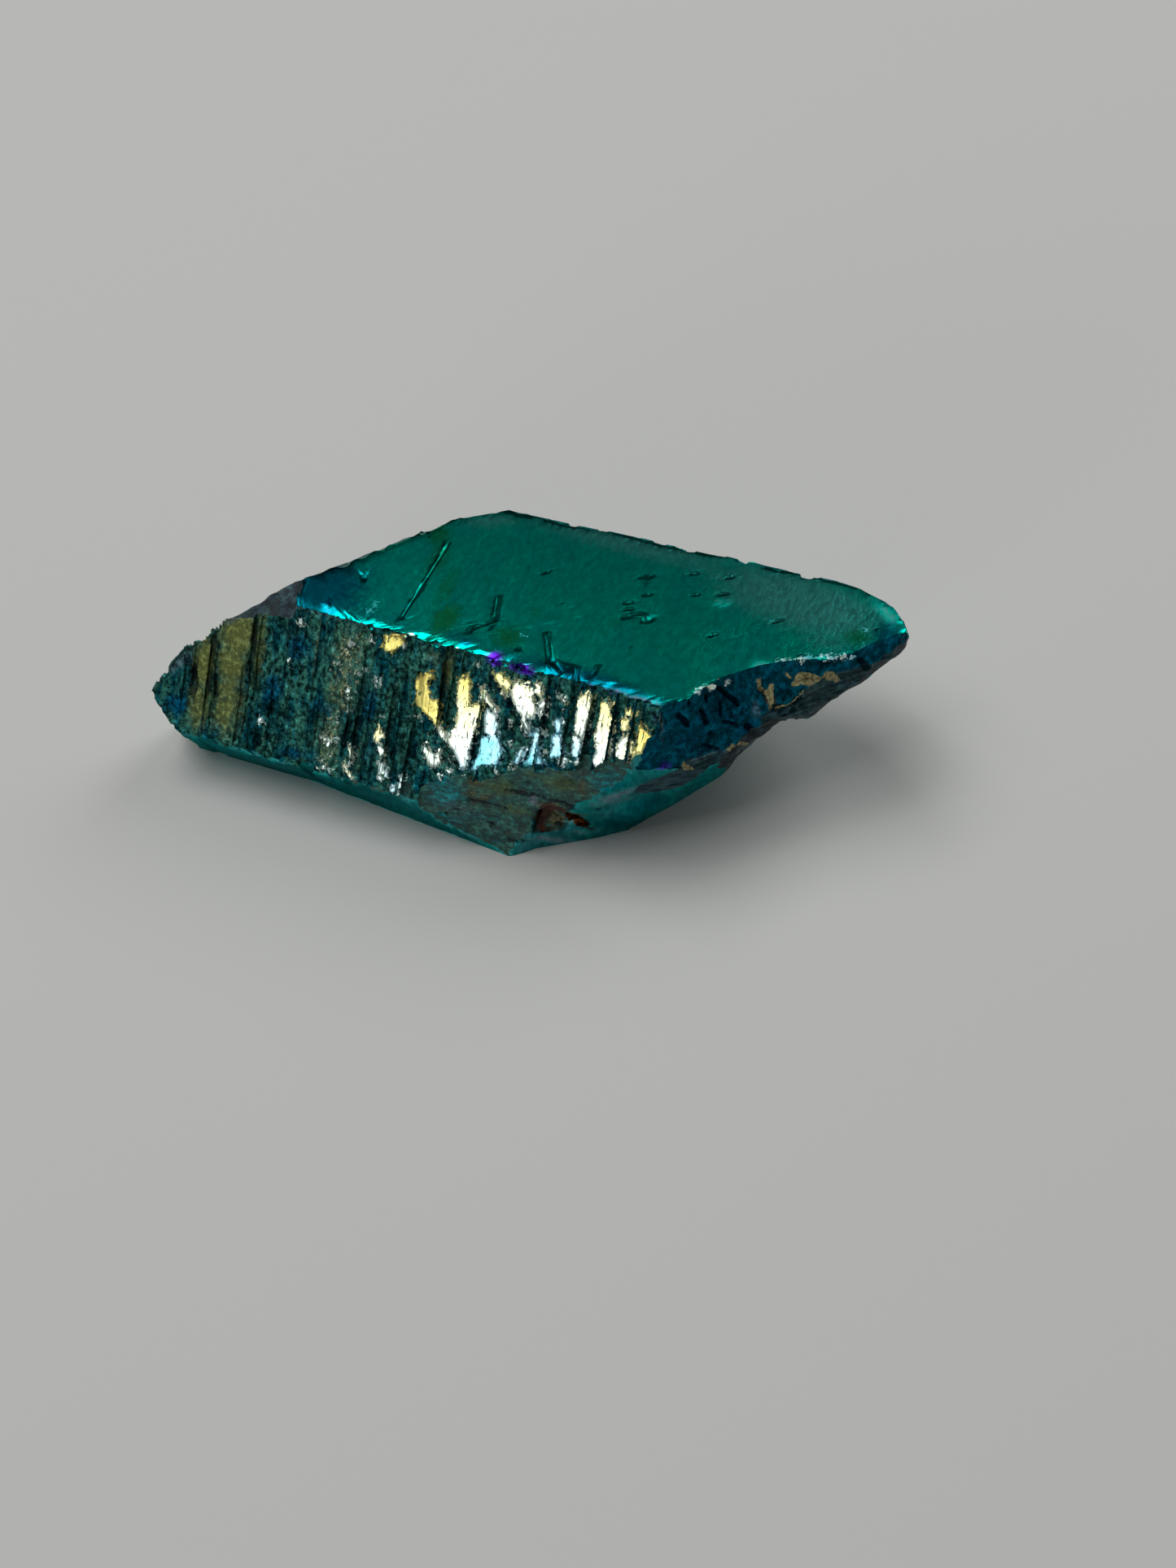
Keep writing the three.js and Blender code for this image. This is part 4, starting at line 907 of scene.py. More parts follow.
def corner_marks(points, triangles, labels):
    """Every mark at each triangle's three corners, taken from the face that the triangle belongs to."""
    blank = blank_marks(len(triangles))
    marks = {kind: np.repeat(values, 3).reshape(-1, 3) for kind, values in blank.items()}
    lookup = np.zeros(len(points), int)
    for name in FLATS:
        chosen = np.isin(labels, [FACE_INDEX[member] for member in MARK_MEMBERS[name]])
        used = np.unique(triangles[chosen])
        lookup[used] = np.arange(len(used))
        for kind, values in face_marks(points[used], name).items():
            marks[kind][chosen] = values[lookup[triangles[chosen]]]
    paint_shade_in_hollows(points, triangles, labels, marks["line"])
    return marks


# ---------------------------------------------------------------- relief

def sharp_points(points, triangles, edges, sides, angle):
    """The points on edges where the surface turns outward by more than an angle in degrees."""
    centres, normals = triangle_frames(points, triangles)
    owner = np.repeat(np.arange(len(triangles)), 3)
    order = np.argsort(sides.reshape(-1), kind="stable")
    pairs = owner[order].reshape(-1, 2)
    bend = (normals[pairs[:, 0]] * normals[pairs[:, 1]]).sum(axis=1)
    outward = ((centres[pairs[:, 1]] - centres[pairs[:, 0]]) * normals[pairs[:, 0]]).sum(axis=1) < 0
    sharp = (bend < math.cos(math.radians(angle))) & outward
    return np.unique(edges[sharp])


def edge_closeness(points, sharp, reach):
    """1 on a sharp outward edge and 0 at the given distance from one."""
    tree = KDTree(len(sharp))
    for index in sharp:
        tree.insert(Vector(points[index]), int(index))
    tree.balance()
    gaps = np.array([tree.find(Vector(point))[2] for point in points])
    return 1 - np.clip(gaps / reach, 0, 1)


def smooth_region(points, edges, share, times, strength):
    """Evens out the facets where share is high, leaving the rest alone."""
    for _ in range(times):
        points = points + (neighbour_mean(points, edges) - points) * (share * strength)[:, None]
    return points


def finish_share(triangles, labels, count, finish):
    """At each point, the share of its triangles that have a finish."""
    members = [index for index, one in enumerate(FACES) if one.finish == finish]
    return point_shares(triangles, np.isin(labels, members), count)


Layer = namedtuple("Layer", "depth lumps seed layers")
Carving = namedtuple("Carving", "mark depth outside inside")

# Noise that pushes each finish inward: depth and lumps in mm, seed, and layers of noise.
RELIEF = {
    "upper": (Layer(0.03, (2.6, 6, 6), 31, 1), Layer(0.004, (0.5, 1.4, 1), 33, 1)),
    "side": (Layer(0.05, (1.1, 7, 7), 35, 1), Layer(0.02, 0.5, 37, 3)),
    "dark": (Layer(0.10, 0.55, 41, 3), Layer(0.05, 0.22, 45, 1)),
    "stone": (Layer(0.22, 1.3, 51, 3), Layer(0.06, 0.24, 55, 1)),
    "rim": (Layer(0.18, (0.6, 0.9, 0.5), 61, 3), Layer(0.06, 0.2, 65, 1)),
}

# The rough ground of the striated face.
LEDGE_LUMPS = Layer(0.15, (0.5, 0.5, 0.6), 11, 2)
LEDGE_GRAINS = Layer(0.09, (0.24, 0.24, 0.3), 15, 1)
LEDGE_RIBS = Layer(0.02, (0.28, 3.0, 3.0), 19, 1)
LEDGE_SWELL = Layer(0.012, (0.8, 1.0, 1.4), 23, 1)
LEDGE_BASE = 0.03  # how deep the lowest of it lies at least, in mm
LEDGE_SLOPE = (-0.02, 0.12)  # where the ground starts and is full, in mm outside a shining ledge
LUMP_STEP = (0.3, 0.7)  # the noise that makes the lumps' foot and their top
OLIVE_CALM = (0.3, 0.8, 0.55)  # the olive mark's start and full value, and what it then takes away

# Marks that are cut in: depth in mm, and the distance inside the mark where it starts and is full.
SLITS = Carving("line", 0.006, -0.08, 0.06)
CRACKS = Carving("line", 0.16, -0.1, 0.06)
POCKET = Carving("pocket", 0.09, -0.05, 0.2)
RAISED_FLAKES = Carving("flake", -0.05, -0.03, 0.06)
CRACKED = ("dark", "stone", "rim")


def carved(marks, carving):
    """How deep a mark is cut in at each point, in mm."""
    return carving.depth * ramp(marks[carving.mark], carving.outside, carving.inside)


def layer_noise(points, layer):
    """One layer's noise from 0 to 1."""
    return rough_noise(points, layer.lumps, layer.seed, layer.layers)


def layer_depth(points, layer):
    """How deep one layer of noise is, in mm."""
    return layer.depth * layer_noise(points, layer)


def ledge_depth(points, marks):
    """How deep the rough ground of the striated face lies below the ledges that shine."""
    rough = ramp(-marks["gleam"], *LEDGE_SLOPE)
    lumps = LEDGE_LUMPS.depth * ramp(layer_noise(points, LEDGE_LUMPS), *LUMP_STEP)
    ground = LEDGE_BASE + lumps + layer_depth(points, LEDGE_GRAINS) + layer_depth(points, LEDGE_RIBS)
    start, full, share = OLIVE_CALM
    calm = 1 - share * ramp(marks["olive"], start, full)
    return rough * ground * calm + layer_depth(points, LEDGE_SWELL)


def relief_depth(points, shares, marks):
    """How far each point is pushed inward, in mm."""
    depth = shares["ledges"] * ledge_depth(points, marks)
    depth += shares["upper"] * carved(marks, SLITS)
    for finish, layers in RELIEF.items():
        pushed = sum(layer_depth(points, layer) for layer in layers)
        if finish in CRACKED:
            pushed += carved(marks, CRACKS)
        depth += shares[finish] * pushed
    depth += carved(marks, POCKET) + carved(marks, RAISED_FLAKES)
    return np.maximum(depth, 0)


# ---------------------------------------------------------------- building the crystal's mesh

# The longest edge on each finish, in mm.
FINISH_LIMITS = {"upper": 0.75, "ledges": 0.2, "side": 0.75, "dark": 0.25, "stone": 0.38, "rim": 0.36}
LOWER_LIMIT = 1.3  # longest edge on the hidden rest face, in mm
HIDDEN_LIMIT = 0.85  # and on the other hidden faces
HIDDEN = ("back_under", "back_upper", "point_back", "point_under", "base_under")
SHARP_ANGLE = 28  # edges that turn outward by more than this many degrees are worn
WEAR_REACH = 0.6  # how far wear reaches from such an edge, in mm
WORN_FROM = 0.6  # how close to the edge its rounding starts, from 0 to 1
EDGE_ROUNDING = (1, 0.22)  # how many times worn edges are evened out, and how strongly
FACET_ROUNDING = (6, 0.6)  # and the facets of broken faces
FACET_SHARES = {"stone": 1.0, "rim": 0.6, "dark": 0.5}  # how broken each finish is
WHOLE = 0.99  # a point's share of one face's triangles when it has no other
SHADING_ANGLE = 42  # edges that turn by more than this many degrees are shaded sharp
CRYSTAL_BOX = [np.array(corner) / MM + MIDDLE for corner in CAD_BOX]  # in the crystal frame


def edge_limits(fineness):
    """The longest edge allowed on each face, in mm."""
    limits = np.array([FINISH_LIMITS[one.finish] for one in FACES])
    limits[FACE_INDEX["lower"]] = LOWER_LIMIT
    for name in HIDDEN:
        limits[FACE_INDEX[name]] = HIDDEN_LIMIT
    return limits * fineness


def average_marks(triangles, marks, count):
    """Each mark's mean at every point, from the corners that meet there."""
    total = np.zeros(count)
    np.add.at(total, triangles.reshape(-1), 1.0)
    means = {}
    for kind, values in marks.items():
        summed = np.zeros(count)
        np.add.at(summed, triangles.reshape(-1), values.reshape(-1))
        means[kind] = summed / np.maximum(total, 1)
    return means


def raise_hollows(points, triangles, labels):
    """Makes the slits and pits of the upper face shallower."""
    inner = point_shares(triangles, labels == FACE_INDEX["upper"], len(points)) > WHOLE
    hollow = (points[:, 2] < TOP) & inner
    points[hollow, 2] = TOP - HOLLOW_DEPTH * (TOP - points[hollow, 2])


def crystal_surface(settings):
    """The finished points in the crystal frame, the triangles, their faces and their marks."""
    points, triangles = cad_triangles()
    labels = name_triangles(*triangle_frames(points, triangles))
    limits = edge_limits(settings.fineness)
    points, triangles, labels = split_long_edges(points, triangles, labels, limits)
    count = len(points)
    edges, sides = edge_table(triangles)
    shares = {finish: finish_share(triangles, labels, count, finish) for finish in FINISHES}
    resting = point_shares(triangles, labels == FACE_INDEX["lower"], count) > 0
    free = np.where(resting, 0.0, 1.0)
    sharp = sharp_points(points, triangles, edges, sides, SHARP_ANGLE)
    closeness = edge_closeness(points, sharp, WEAR_REACH)
    marks = corner_marks(points, triangles, labels)
    raise_hollows(points, triangles, labels)
    broken = sum(share * shares[finish] for finish, share in FACET_SHARES.items())
    points = smooth_region(points, edges, free * broken, *FACET_ROUNDING)
    points = smooth_region(points, edges, free * ramp(closeness, WORN_FROM, 1), *EDGE_ROUNDING)
    means = average_marks(triangles, marks, count)
    depth = relief_depth(points, shares, means) * settings.relief * free
    points = points - point_normals(points, triangles) * depth[:, None]
    points = np.clip(points, *CRYSTAL_BOX)
    marks["edge"] = closeness[triangles]
    return points, triangles, labels, marks


def build_mesh(name, points, triangles, labels, marks):
    """A mesh object in metres, with the marks as attributes and a material index for each finish."""
    mesh = bpy.data.meshes.new(name)
    mesh.from_pydata(((points - MIDDLE) * MM).tolist(), [], triangles.tolist())
    finish = np.array([FINISHES.index(one.finish) for one in FACES])[labels]
    mesh.polygons.foreach_set("material_index", finish.astype(np.int32))
    mesh.polygons.foreach_set("use_smooth", np.ones(len(triangles), bool))
    for kind, values in marks.items():
        layer = mesh.attributes.new(kind, "FLOAT", "CORNER")
        layer.data.foreach_set("value", values.reshape(-1).astype(np.float32))
    mesh.set_sharp_from_angle(angle=math.radians(SHADING_ANGLE))
    mesh.update()
    piece = bpy.data.objects.new(name, mesh)
    bpy.context.scene.collection.objects.link(piece)
    return piece


# ---------------------------------------------------------------- node helpers

def linear(value):
    """A linear value from a screen value from 0 to 1, by the sRGB standard's formula."""
    return value / 12.92 if value <= 0.04045 else ((value + 0.055) / 1.055) ** 2.4


def srgb(red, green, blue):
    """A linear colour from one given in 0 to 255 screen values."""
    return tuple(linear(value / 255) for value in (red, green, blue))


MIX_SOCKETS = {"FLOAT": (2, 3, 0), "RGBA": (6, 7, 2)}  # the Mix node's two inputs and its output
NUMBER = "NodeSocketFloat"
COLOUR = "NodeSocketColor"
VECTOR = "NodeSocketVector"


def feed(tree, socket, value):
    """Links a socket to another node's output, or sets its own value."""
    if isinstance(value, bpy.types.NodeSocket):
        tree.links.new(value, socket)
    elif hasattr(socket.default_value, "__len__") and len(socket.default_value) == 4 and len(value) == 3:
        socket.default_value = (*value, 1)
    else:
        socket.default_value = value


def add_node(tree, kind, settings=None, **values):
    """A new node with its settings, and values or links for its inputs by name."""
    node = tree.nodes.new(kind)
    for key, value in (settings or {}).items():
        setattr(node, key, value)
    for key, value in values.items():
        feed(tree, node.inputs[key.replace("_", " ")], value)
    return node


def calculate(tree, operation, first, second):
    """The result of a Math node."""
    node = add_node(tree, "ShaderNodeMath", {"operation": operation})
    feed(tree, node.inputs[0], first)
    feed(tree, node.inputs[1], second)
    return node.outputs[0]


def step_between(tree, value, low, high):
    """0 below low and 1 above high, smooth in between."""
    node = add_node(tree, "ShaderNodeMapRange", {"interpolation_type": "SMOOTHSTEP"},
                    Value=value, From_Min=low, From_Max=high)
    return node.outputs["Result"]


def mix_values(tree, kind, factor, first, second, way="MIX"):
    """A value mixed between two others, on the Mix node's own sockets for that kind of value."""
    start, end, result = MIX_SOCKETS[kind]
    node = add_node(tree, "ShaderNodeMix", {"data_type": kind, "blend_type": way})
    feed(tree, node.inputs[0], factor)
    feed(tree, node.inputs[start], first)
    feed(tree, node.inputs[end], second)
    return node.outputs[result]


def mix_numbers(tree, factor, first, second):
    """A number mixed between two others."""
    return mix_values(tree, "FLOAT", factor, first, second)


def mix_colours(tree, factor, first, second, way="MIX"):
    """A colour mixed between two others."""
    return mix_values(tree, "RGBA", factor, first, second, way)


def mark(tree, kind):
    """A mark kept in the mesh."""
    return add_node(tree, "ShaderNodeAttribute", {"attribute_name": kind}).outputs["Fac"]


def stretched_noise(tree, position, size, detail, rough):
    """Noise from 0 to 1 whose lumps have the given size in mm (three numbers)."""
    scaled = add_node(tree, "ShaderNodeVectorMath", {"operation": "DIVIDE"})
    feed(tree, scaled.inputs[0], position)
    feed(tree, scaled.inputs[1], size)
    node = add_node(tree, "ShaderNodeTexNoise", {"noise_dimensions": "3D"},
                    Vector=scaled.outputs[0], Scale=1.0, Detail=detail, Roughness=rough)
    return node.outputs["Fac"]


def swing(tree, value, amount):
    """Noise moved to lie evenly about zero, and scaled."""
    return calculate(tree, "MULTIPLY", calculate(tree, "SUBTRACT", value, 0.5), amount)


def new_group(name, inputs, outputs):
    """An empty shader node group with named sockets, with its input and output nodes."""
    tree = bpy.data.node_groups.new(name, "ShaderNodeTree")
    for kind, label, default in inputs:
        socket = tree.interface.new_socket(label, in_out="INPUT", socket_type=kind)
        if default is not None:
            socket.default_value = default
    for kind, label in outputs:
        tree.interface.new_socket(label, in_out="OUTPUT", socket_type=kind)
    return tree, tree.nodes.new("NodeGroupInput").outputs, tree.nodes.new("NodeGroupOutput").inputs


def use_group(tree, group, **values):
    """A node that uses a group, with values or links for its inputs by name."""
    node = tree.nodes.new("ShaderNodeGroup")
    node.node_tree = group
    for key, value in values.items():
        feed(tree, node.inputs[key.replace("_", " ")], value)
    return node.outputs


# ---------------------------------------------------------------- shared effects

# Noise in the effects: lumps in mm where they are fixed, then detail and roughness.
RAGGED_NOISE = (3.0, 0.6)
FILM_DRIFT = ((0.5, 0.7, 1.0), 4.0, 0.65)
MOTTLE_NOISE = (4.0, 0.6)
GRAIN_NOISE = (5.0, 0.72)
PATCH_NOISE = (5.0, 0.7)
WEAR_NOISE = ((0.5, 0.5, 0.5), 5.0, 0.7)
GLEAM_EDGE = ((0.22, 0.24, 0.34), 5.0, 0.74)
GLEAM_HOLES = ((0.18, 0.2, 0.3), 4.0, 0.75)
GLEAM_STREAKS = ((0.1, 1.0, 1.5), 3.0, 0.65)
SPECK_NOISE = ((0.22, 0.24, 0.32), 4.0, 0.75)
SPECK_SHINE = ((0.45, 0.4, 0.5), 2.0, 0.6)

# Where masks start and where they are full, in noise, mark strength or millimetres.
GRAIN_STEP = (0.38, 0.68)
PATCH_STEP = (0.1, 0.95)
PATCH_START = (0, 0.25)
WEAR_SOFTNESS = 0.2
GLEAM_STEP = (-0.08, -0.03)
HOLE_STEP = (0.34, 0.39)
STREAK_STEP = (0.34, 0.4)
SPECK_SOFTNESS = 0.04
SPECK_START = (0.03, 0.15)
SHINE_STEP = (0.54, 0.62)


def position_group():
    """The place on the surface in crystal millimetres."""
    tree, _, out = new_group("Crystal millimetres", (), ((VECTOR, "Position"),))
    place = add_node(tree, "ShaderNodeTexCoord").outputs["Object"]
    node = add_node(tree, "ShaderNodeVectorMath", {"operation": "MULTIPLY_ADD"})
    feed(tree, node.inputs[0], place)
    node.inputs[1].default_value = (1 / MM,) * 3
    node.inputs[2].default_value = tuple(MIDDLE)
    tree.links.new(node.outputs[0], out["Position"])
    return tree


def ragged_group():
    """A mask with an uneven edge, from the distance inside a shape."""
    inputs = (
        (NUMBER, "Distance", 0), (VECTOR, "Position", None), (VECTOR, "Lumps", (0.2, 0.2, 0.3)),
        (NUMBER, "Raggedness", 0.1), (NUMBER, "Softness", 0.03),
    )
    tree, given, out = new_group("Ragged mask", inputs, ((NUMBER, "Mask"),))
    lumps = stretched_noise(tree, given["Position"], given["Lumps"], *RAGGED_NOISE)
    shift = swing(tree, lumps, given["Raggedness"])
    distance = calculate(tree, "ADD", given["Distance"], calculate(tree, "MULTIPLY", shift, 2.0))
    low = calculate(tree, "MULTIPLY", given["Softness"], -1.0)
    tree.links.new(step_between(tree, distance, low, given["Softness"]), out["Mask"])
    return tree


# The film's colours by its order, as screen values; the pale and white ones paint highlights.
FILM_HIGHLIGHT_ORDER = (
    (0.0, (88, 40, 190)), (0.12, (140, 100, 64)), (0.21, (184, 168, 88)), (0.31, (242, 230, 132)),
    (0.42, (250, 248, 178)), (0.52, (244, 255, 226)), (0.62, (226, 250, 246)), (0.74, (172, 236, 255)),
    (0.86, (80, 200, 208)), (1.0, (0, 130, 130)),
)
FILM_SWING = 0.28  # how far the order drifts


def film_highlight_group():
    """The colour of a thin film by its order, from violet through gold and white to teal, used as painted
    highlight.
    """
    inputs = ((NUMBER, "Order", 0.5), (VECTOR, "Position", None))
    tree, given, out = new_group("Film colour of painted highlights", inputs, ((COLOUR, "Colour"),))
    drift = swing(tree, stretched_noise(tree, given["Position"], *FILM_DRIFT), FILM_SWING)
    node = add_node(tree, "ShaderNodeValToRGB", Fac=calculate(tree, "ADD", given["Order"], drift))
    stops = node.color_ramp.elements
    while len(stops) < len(FILM_HIGHLIGHT_ORDER):
        stops.new(0.5)
    for stop, (place, colour) in zip(stops, FILM_HIGHLIGHT_ORDER):
        stop.position = place
        stop.color = (*srgb(*colour), 1)
    tree.links.new(node.outputs["Color"], out["Colour"])
    return tree


MOTTLE_MIDDLE = (0.5, 0.501)  # the noise where the colour turns; its two sides never meet
MOTTLE_SOFTNESS = 0.25  # how wide a border of no sharpness is, to each side


def mottle_group():
    """A colour that drifts between two others in lumps of a given size, with sharp or soft borders."""
    inputs = (
        (VECTOR, "Position", None), (VECTOR, "Lumps", (1, 1, 1)), (NUMBER, "Sharpness", 0.3),
        (COLOUR, "First", None), (COLOUR, "Second", None),
    )
    tree, given, out = new_group("Mottle", inputs, ((COLOUR, "Colour"),))
    lumps = stretched_noise(tree, given["Position"], given["Lumps"], *MOTTLE_NOISE)
    blur = calculate(tree, "SUBTRACT", 1.0, given["Sharpness"])
    half = calculate(tree, "MULTIPLY", blur, MOTTLE_SOFTNESS)
    low = calculate(tree, "SUBTRACT", MOTTLE_MIDDLE[0], half)
    high = calculate(tree, "ADD", MOTTLE_MIDDLE[1], half)
    mask = step_between(tree, lumps, low, high)
    tree.links.new(mix_colours(tree, mask, given["First"], given["Second"]), out["Colour"])
    return tree


def grains_group():
    """Granular shade between a dark and a bright level, and the same grains as a height."""
    inputs = (
        (VECTOR, "Position", None), (VECTOR, "Lumps", (0.3, 0.3, 0.3)),
        (NUMBER, "Dark", 0.5), (NUMBER, "Bright", 1.5),
    )
    tree, given, out = new_group("Grains", inputs, ((COLOUR, "Shade"), (NUMBER, "Height")))
    lumps = stretched_noise(tree, given["Position"], given["Lumps"], *GRAIN_NOISE)
    part = step_between(tree, lumps, *GRAIN_STEP)
    shade = mix_numbers(tree, part, given["Dark"], given["Bright"])
    joined = add_node(tree, "ShaderNodeCombineColor", None, Red=shade, Green=shade, Blue=shade)
    tree.links.new(joined.outputs[0], out["Shade"])
    tree.links.new(part, out["Height"])
    return tree


PATCH_SWING = 1.3  # how much noise breaks up the patches
PATCH_NAMES = ("Grey", "Olive", "Blue", "Dark", "Brown", "Ochre", "Frost", "Violet")


def tint_group():
    """Lays the crystal's soft colour patches over a base colour, each broken up by noise."""
    inputs = [(COLOUR, "Base", None), (VECTOR, "Position", None), (VECTOR, "Lumps", (0.3, 0.5, 0.5))]
    inputs += [(COLOUR, label, None) for label in PATCH_NAMES]
    tree, given, out = new_group("Film patches", inputs, ((COLOUR, "Colour"),))
    sway = swing(tree, stretched_noise(tree, given["Position"], given["Lumps"], *PATCH_NOISE), PATCH_SWING)
    colour = given["Base"]
    for label in PATCH_NAMES:
        strength = mark(tree, label.lower())
        uneven = step_between(tree, calculate(tree, "ADD", strength, sway), *PATCH_STEP)
        mask = calculate(tree, "MULTIPLY", uneven, step_between(tree, strength, *PATCH_START))
        colour = mix_colours(tree, mask, colour, given[label])
    tree.links.new(colour, out["Colour"])
    return tree


WEAR_SWING = 1.2  # how much noise breaks up the wear
WEAR_NEED = 2.2  # the wear that shows, less the amount


def wear_and_edge_highlight_group():
    """Broken pale wear along sharp edges, partly painted edge highlight."""
    inputs = ((VECTOR, "Position", None), (NUMBER, "Amount", 0.5))
    tree, given, out = new_group("Edge wear and painted edge highlight", inputs, ((NUMBER, "Mask"),))
    lumps = stretched_noise(tree, given["Position"], *WEAR_NOISE)
    reach = calculate(tree, "ADD", mark(tree, "edge"), calculate(tree, "MULTIPLY", lumps, WEAR_SWING))
    need = calculate(tree, "SUBTRACT", WEAR_NEED, given["Amount"])
    mask = step_between(tree, reach, calculate(tree, "SUBTRACT", need, WEAR_SOFTNESS), need)
    tree.links.new(mask, out["Mask"])
    return tree


GLEAM_SWING = 1.5  # how ragged the ledges are


def painted_gleam_group():
    """Painted highlights on the film: ragged ledges with holes and thin dark streaks in them."""
    tree, given, out = new_group("Painted ledge highlights", ((VECTOR, "Position", None),), ((NUMBER, "Mask"),))
    position = given["Position"]
    lumps = swing(tree, stretched_noise(tree, position, *GLEAM_EDGE), GLEAM_SWING)
    ledge = step_between(tree, calculate(tree, "ADD", mark(tree, "gleam"), lumps), *GLEAM_STEP)
    holes = step_between(tree, stretched_noise(tree, position, *GLEAM_HOLES), *HOLE_STEP)
    streaks = step_between(tree, stretched_noise(tree, position, *GLEAM_STREAKS), *STREAK_STEP)
    broken = calculate(tree, "MULTIPLY", holes, streaks)
    tree.links.new(calculate(tree, "MULTIPLY", ledge, broken), out["Mask"])
    return tree


SPECK_NEED = 0.71  # the noise that a speck needs where there is no grain mark
SPECK_GAIN = 0.23  # how much less it needs where the mark is full


def specks_and_glints_group():
    """Small pale grains, thick where the grain mark is high: most of them dull, a few bright as painted
    glints.
    """
    inputs = ((VECTOR, "Position", None), (COLOUR, "Dull", None), (COLOUR, "Bright", None))
    tree, given, out = new_group("Specks and painted glints", inputs, ((NUMBER, "Mask"), (COLOUR, "Colour")))
    grain = mark(tree, "grain")
    specks_and_glints = stretched_noise(tree, given["Position"], *SPECK_NOISE)
    need = calculate(tree, "SUBTRACT", SPECK_NEED, calculate(tree, "MULTIPLY", grain, SPECK_GAIN))
    shown = step_between(tree, specks_and_glints, need, calculate(tree, "ADD", need, SPECK_SOFTNESS))
    started = step_between(tree, grain, *SPECK_START)
    tree.links.new(calculate(tree, "MULTIPLY", shown, started), out["Mask"])
    shine = step_between(tree, stretched_noise(tree, given["Position"], *SPECK_SHINE), *SHINE_STEP)
    tree.links.new(mix_colours(tree, shine, given["Dull"], given["Bright"]), out["Colour"])
    return tree


def build_groups():
    """Every shared effect, by name."""
    makers = {
        "position": position_group, "ragged": ragged_group, "film": film_highlight_group, "mottle": mottle_group,
        "grains": grains_group, "tint": tint_group, "wear": wear_and_edge_highlight_group, "gleam": painted_gleam_group,
        "specks_and_glints": specks_and_glints_group,
    }
    return {name: make() for name, make in makers.items()}


# ---------------------------------------------------------------- materials

Look = namedtuple(
    "Look", "first second lumps sharpness metallic roughness grains shade bump wear line tint patches",
    defaults=(srgb(0, 150, 150), {}),
)
Tones = namedtuple("Tones", "first second lumps sharpness")
# The Dark patch colour also paints the shadow in a notch near the point of the upper face.
PATCHES = {
    "Olive": srgb(128, 140, 82), "Blue": srgb(0, 84, 140), "Grey": srgb(84, 146, 132),
    "Violet": srgb(96, 30, 210), "Brown": srgb(120, 84, 36), "Frost": srgb(112, 130, 142),
    "Dark": srgb(6, 26, 30), "Ochre": srgb(106, 104, 74),
}
PLAIN_TINT = (1, 1, 1)  # the tint of reflections on bare quartz; on the film they are teal
# The line colour is also painted as shade into the upper face's slits and pits.
LINE_COLOUR = srgb(1, 20, 34)
POCKET_TONES = Tones(srgb(34, 18, 8), srgb(84, 44, 22), (0.5, 0.5, 0.4), 0.3)
FLAKE_TONES = Tones(srgb(176, 168, 124), srgb(104, 96, 62), (0.2, 0.2, 0.16), 0.5)
BARE_TONES = Tones(srgb(56, 84, 90), srgb(10, 34, 46), (1.2, 1.2, 0.22), 0.45)
# Dull specks are pale grains; the bright ones are painted glints.
SPECK_AND_GLINT_COLOURS = {"Dull": srgb(178, 188, 150), "Bright": srgb(240, 250, 238)}
# Pale wear along sharp edges, also painted as edge highlight.
WEAR_AND_HIGHLIGHT_COLOUR = srgb(112, 130, 138)
WEAR_AND_HIGHLIGHT_STRENGTH = 0.5
CALM_SHADE = 0.4  # how much of the granular shade an olive patch takes away
DULL_SURFACE = (0.0, 0.7)  # metallic and roughness where the film is frosted or gone
SHINING_SURFACE = (0.7, 0.32)  # and on the shining ledges and specks
CALM_BUMP = 0.1  # the share of the bump that shining ledges keep


def looks(settings):
    """How each finish looks: its colours, lumps in mm, surface values and the strength of its marks."""
    return {
        "upper": Look(
            first=settings.face_colour, second=srgb(0, 186, 172), lumps=(1.6, 5, 5), sharpness=0.0,
            metallic=1.0, roughness=0.22, grains=(0.3, 0.7, 0.5), shade=(0.86, 1.12), bump=0.003,
            wear=0.1, line=0.72,
            patches={"Olive": srgb(24, 160, 104), "Blue": srgb(0, 120, 142), "Grey": srgb(84, 206, 194)},
        ),
        "ledges": Look(
            first=srgb(4, 88, 102), second=srgb(68, 136, 120), lumps=(0.4, 1.8, 2.4), sharpness=0.3,
            metallic=0.85, roughness=0.42, grains=(0.28, 0.28, 0.36), shade=(0.08, 2.0), bump=0.03,
            wear=0.3, line=0.7, patches={"Blue": srgb(6, 84, 116)},
        ),
        "side": Look(
            first=srgb(26, 158, 154), second=srgb(64, 138, 144), lumps=(1.4, 4, 4), sharpness=0.1,
            metallic=1.0, roughness=0.46, grains=(0.3, 1.2, 0.9), shade=(0.75, 1.25), bump=0.012,
            wear=0.2, line=0.85, patches={"Blue": srgb(0, 128, 136)},
        ),
        "dark": Look(
            first=srgb(0, 104, 130), second=srgb(0, 76, 94), lumps=(0.6, 0.8, 0.8), sharpness=0.4,
            metallic=0.95, roughness=0.45, grains=(0.36, 0.4, 0.44), shade=(0.4, 1.5), bump=0.04,
            wear=0.1, line=0.9, patches={"Blue": srgb(0, 80, 112)},
        ),
        "stone": Look(
            first=settings.stone_colour, second=srgb(20, 92, 92), lumps=(1.0, 1.2, 0.7), sharpness=0.35,
            metallic=0.1, roughness=0.55, grains=(0.4, 0.45, 0.26), shade=(0.25, 1.75), bump=0.05,
            wear=0.3, line=0.9, tint=PLAIN_TINT,
            patches={"Olive": srgb(84, 108, 64), "Blue": srgb(0, 132, 138), "Brown": srgb(92, 92, 58)},
        ),
        "rim": Look(
            *BARE_TONES, metallic=0.05, roughness=0.7, grains=(0.5, 0.5, 0.3), shade=(0.25, 1.6), bump=0.06,
            wear=0.2, line=0.9, tint=PLAIN_TINT,
        ),
    }


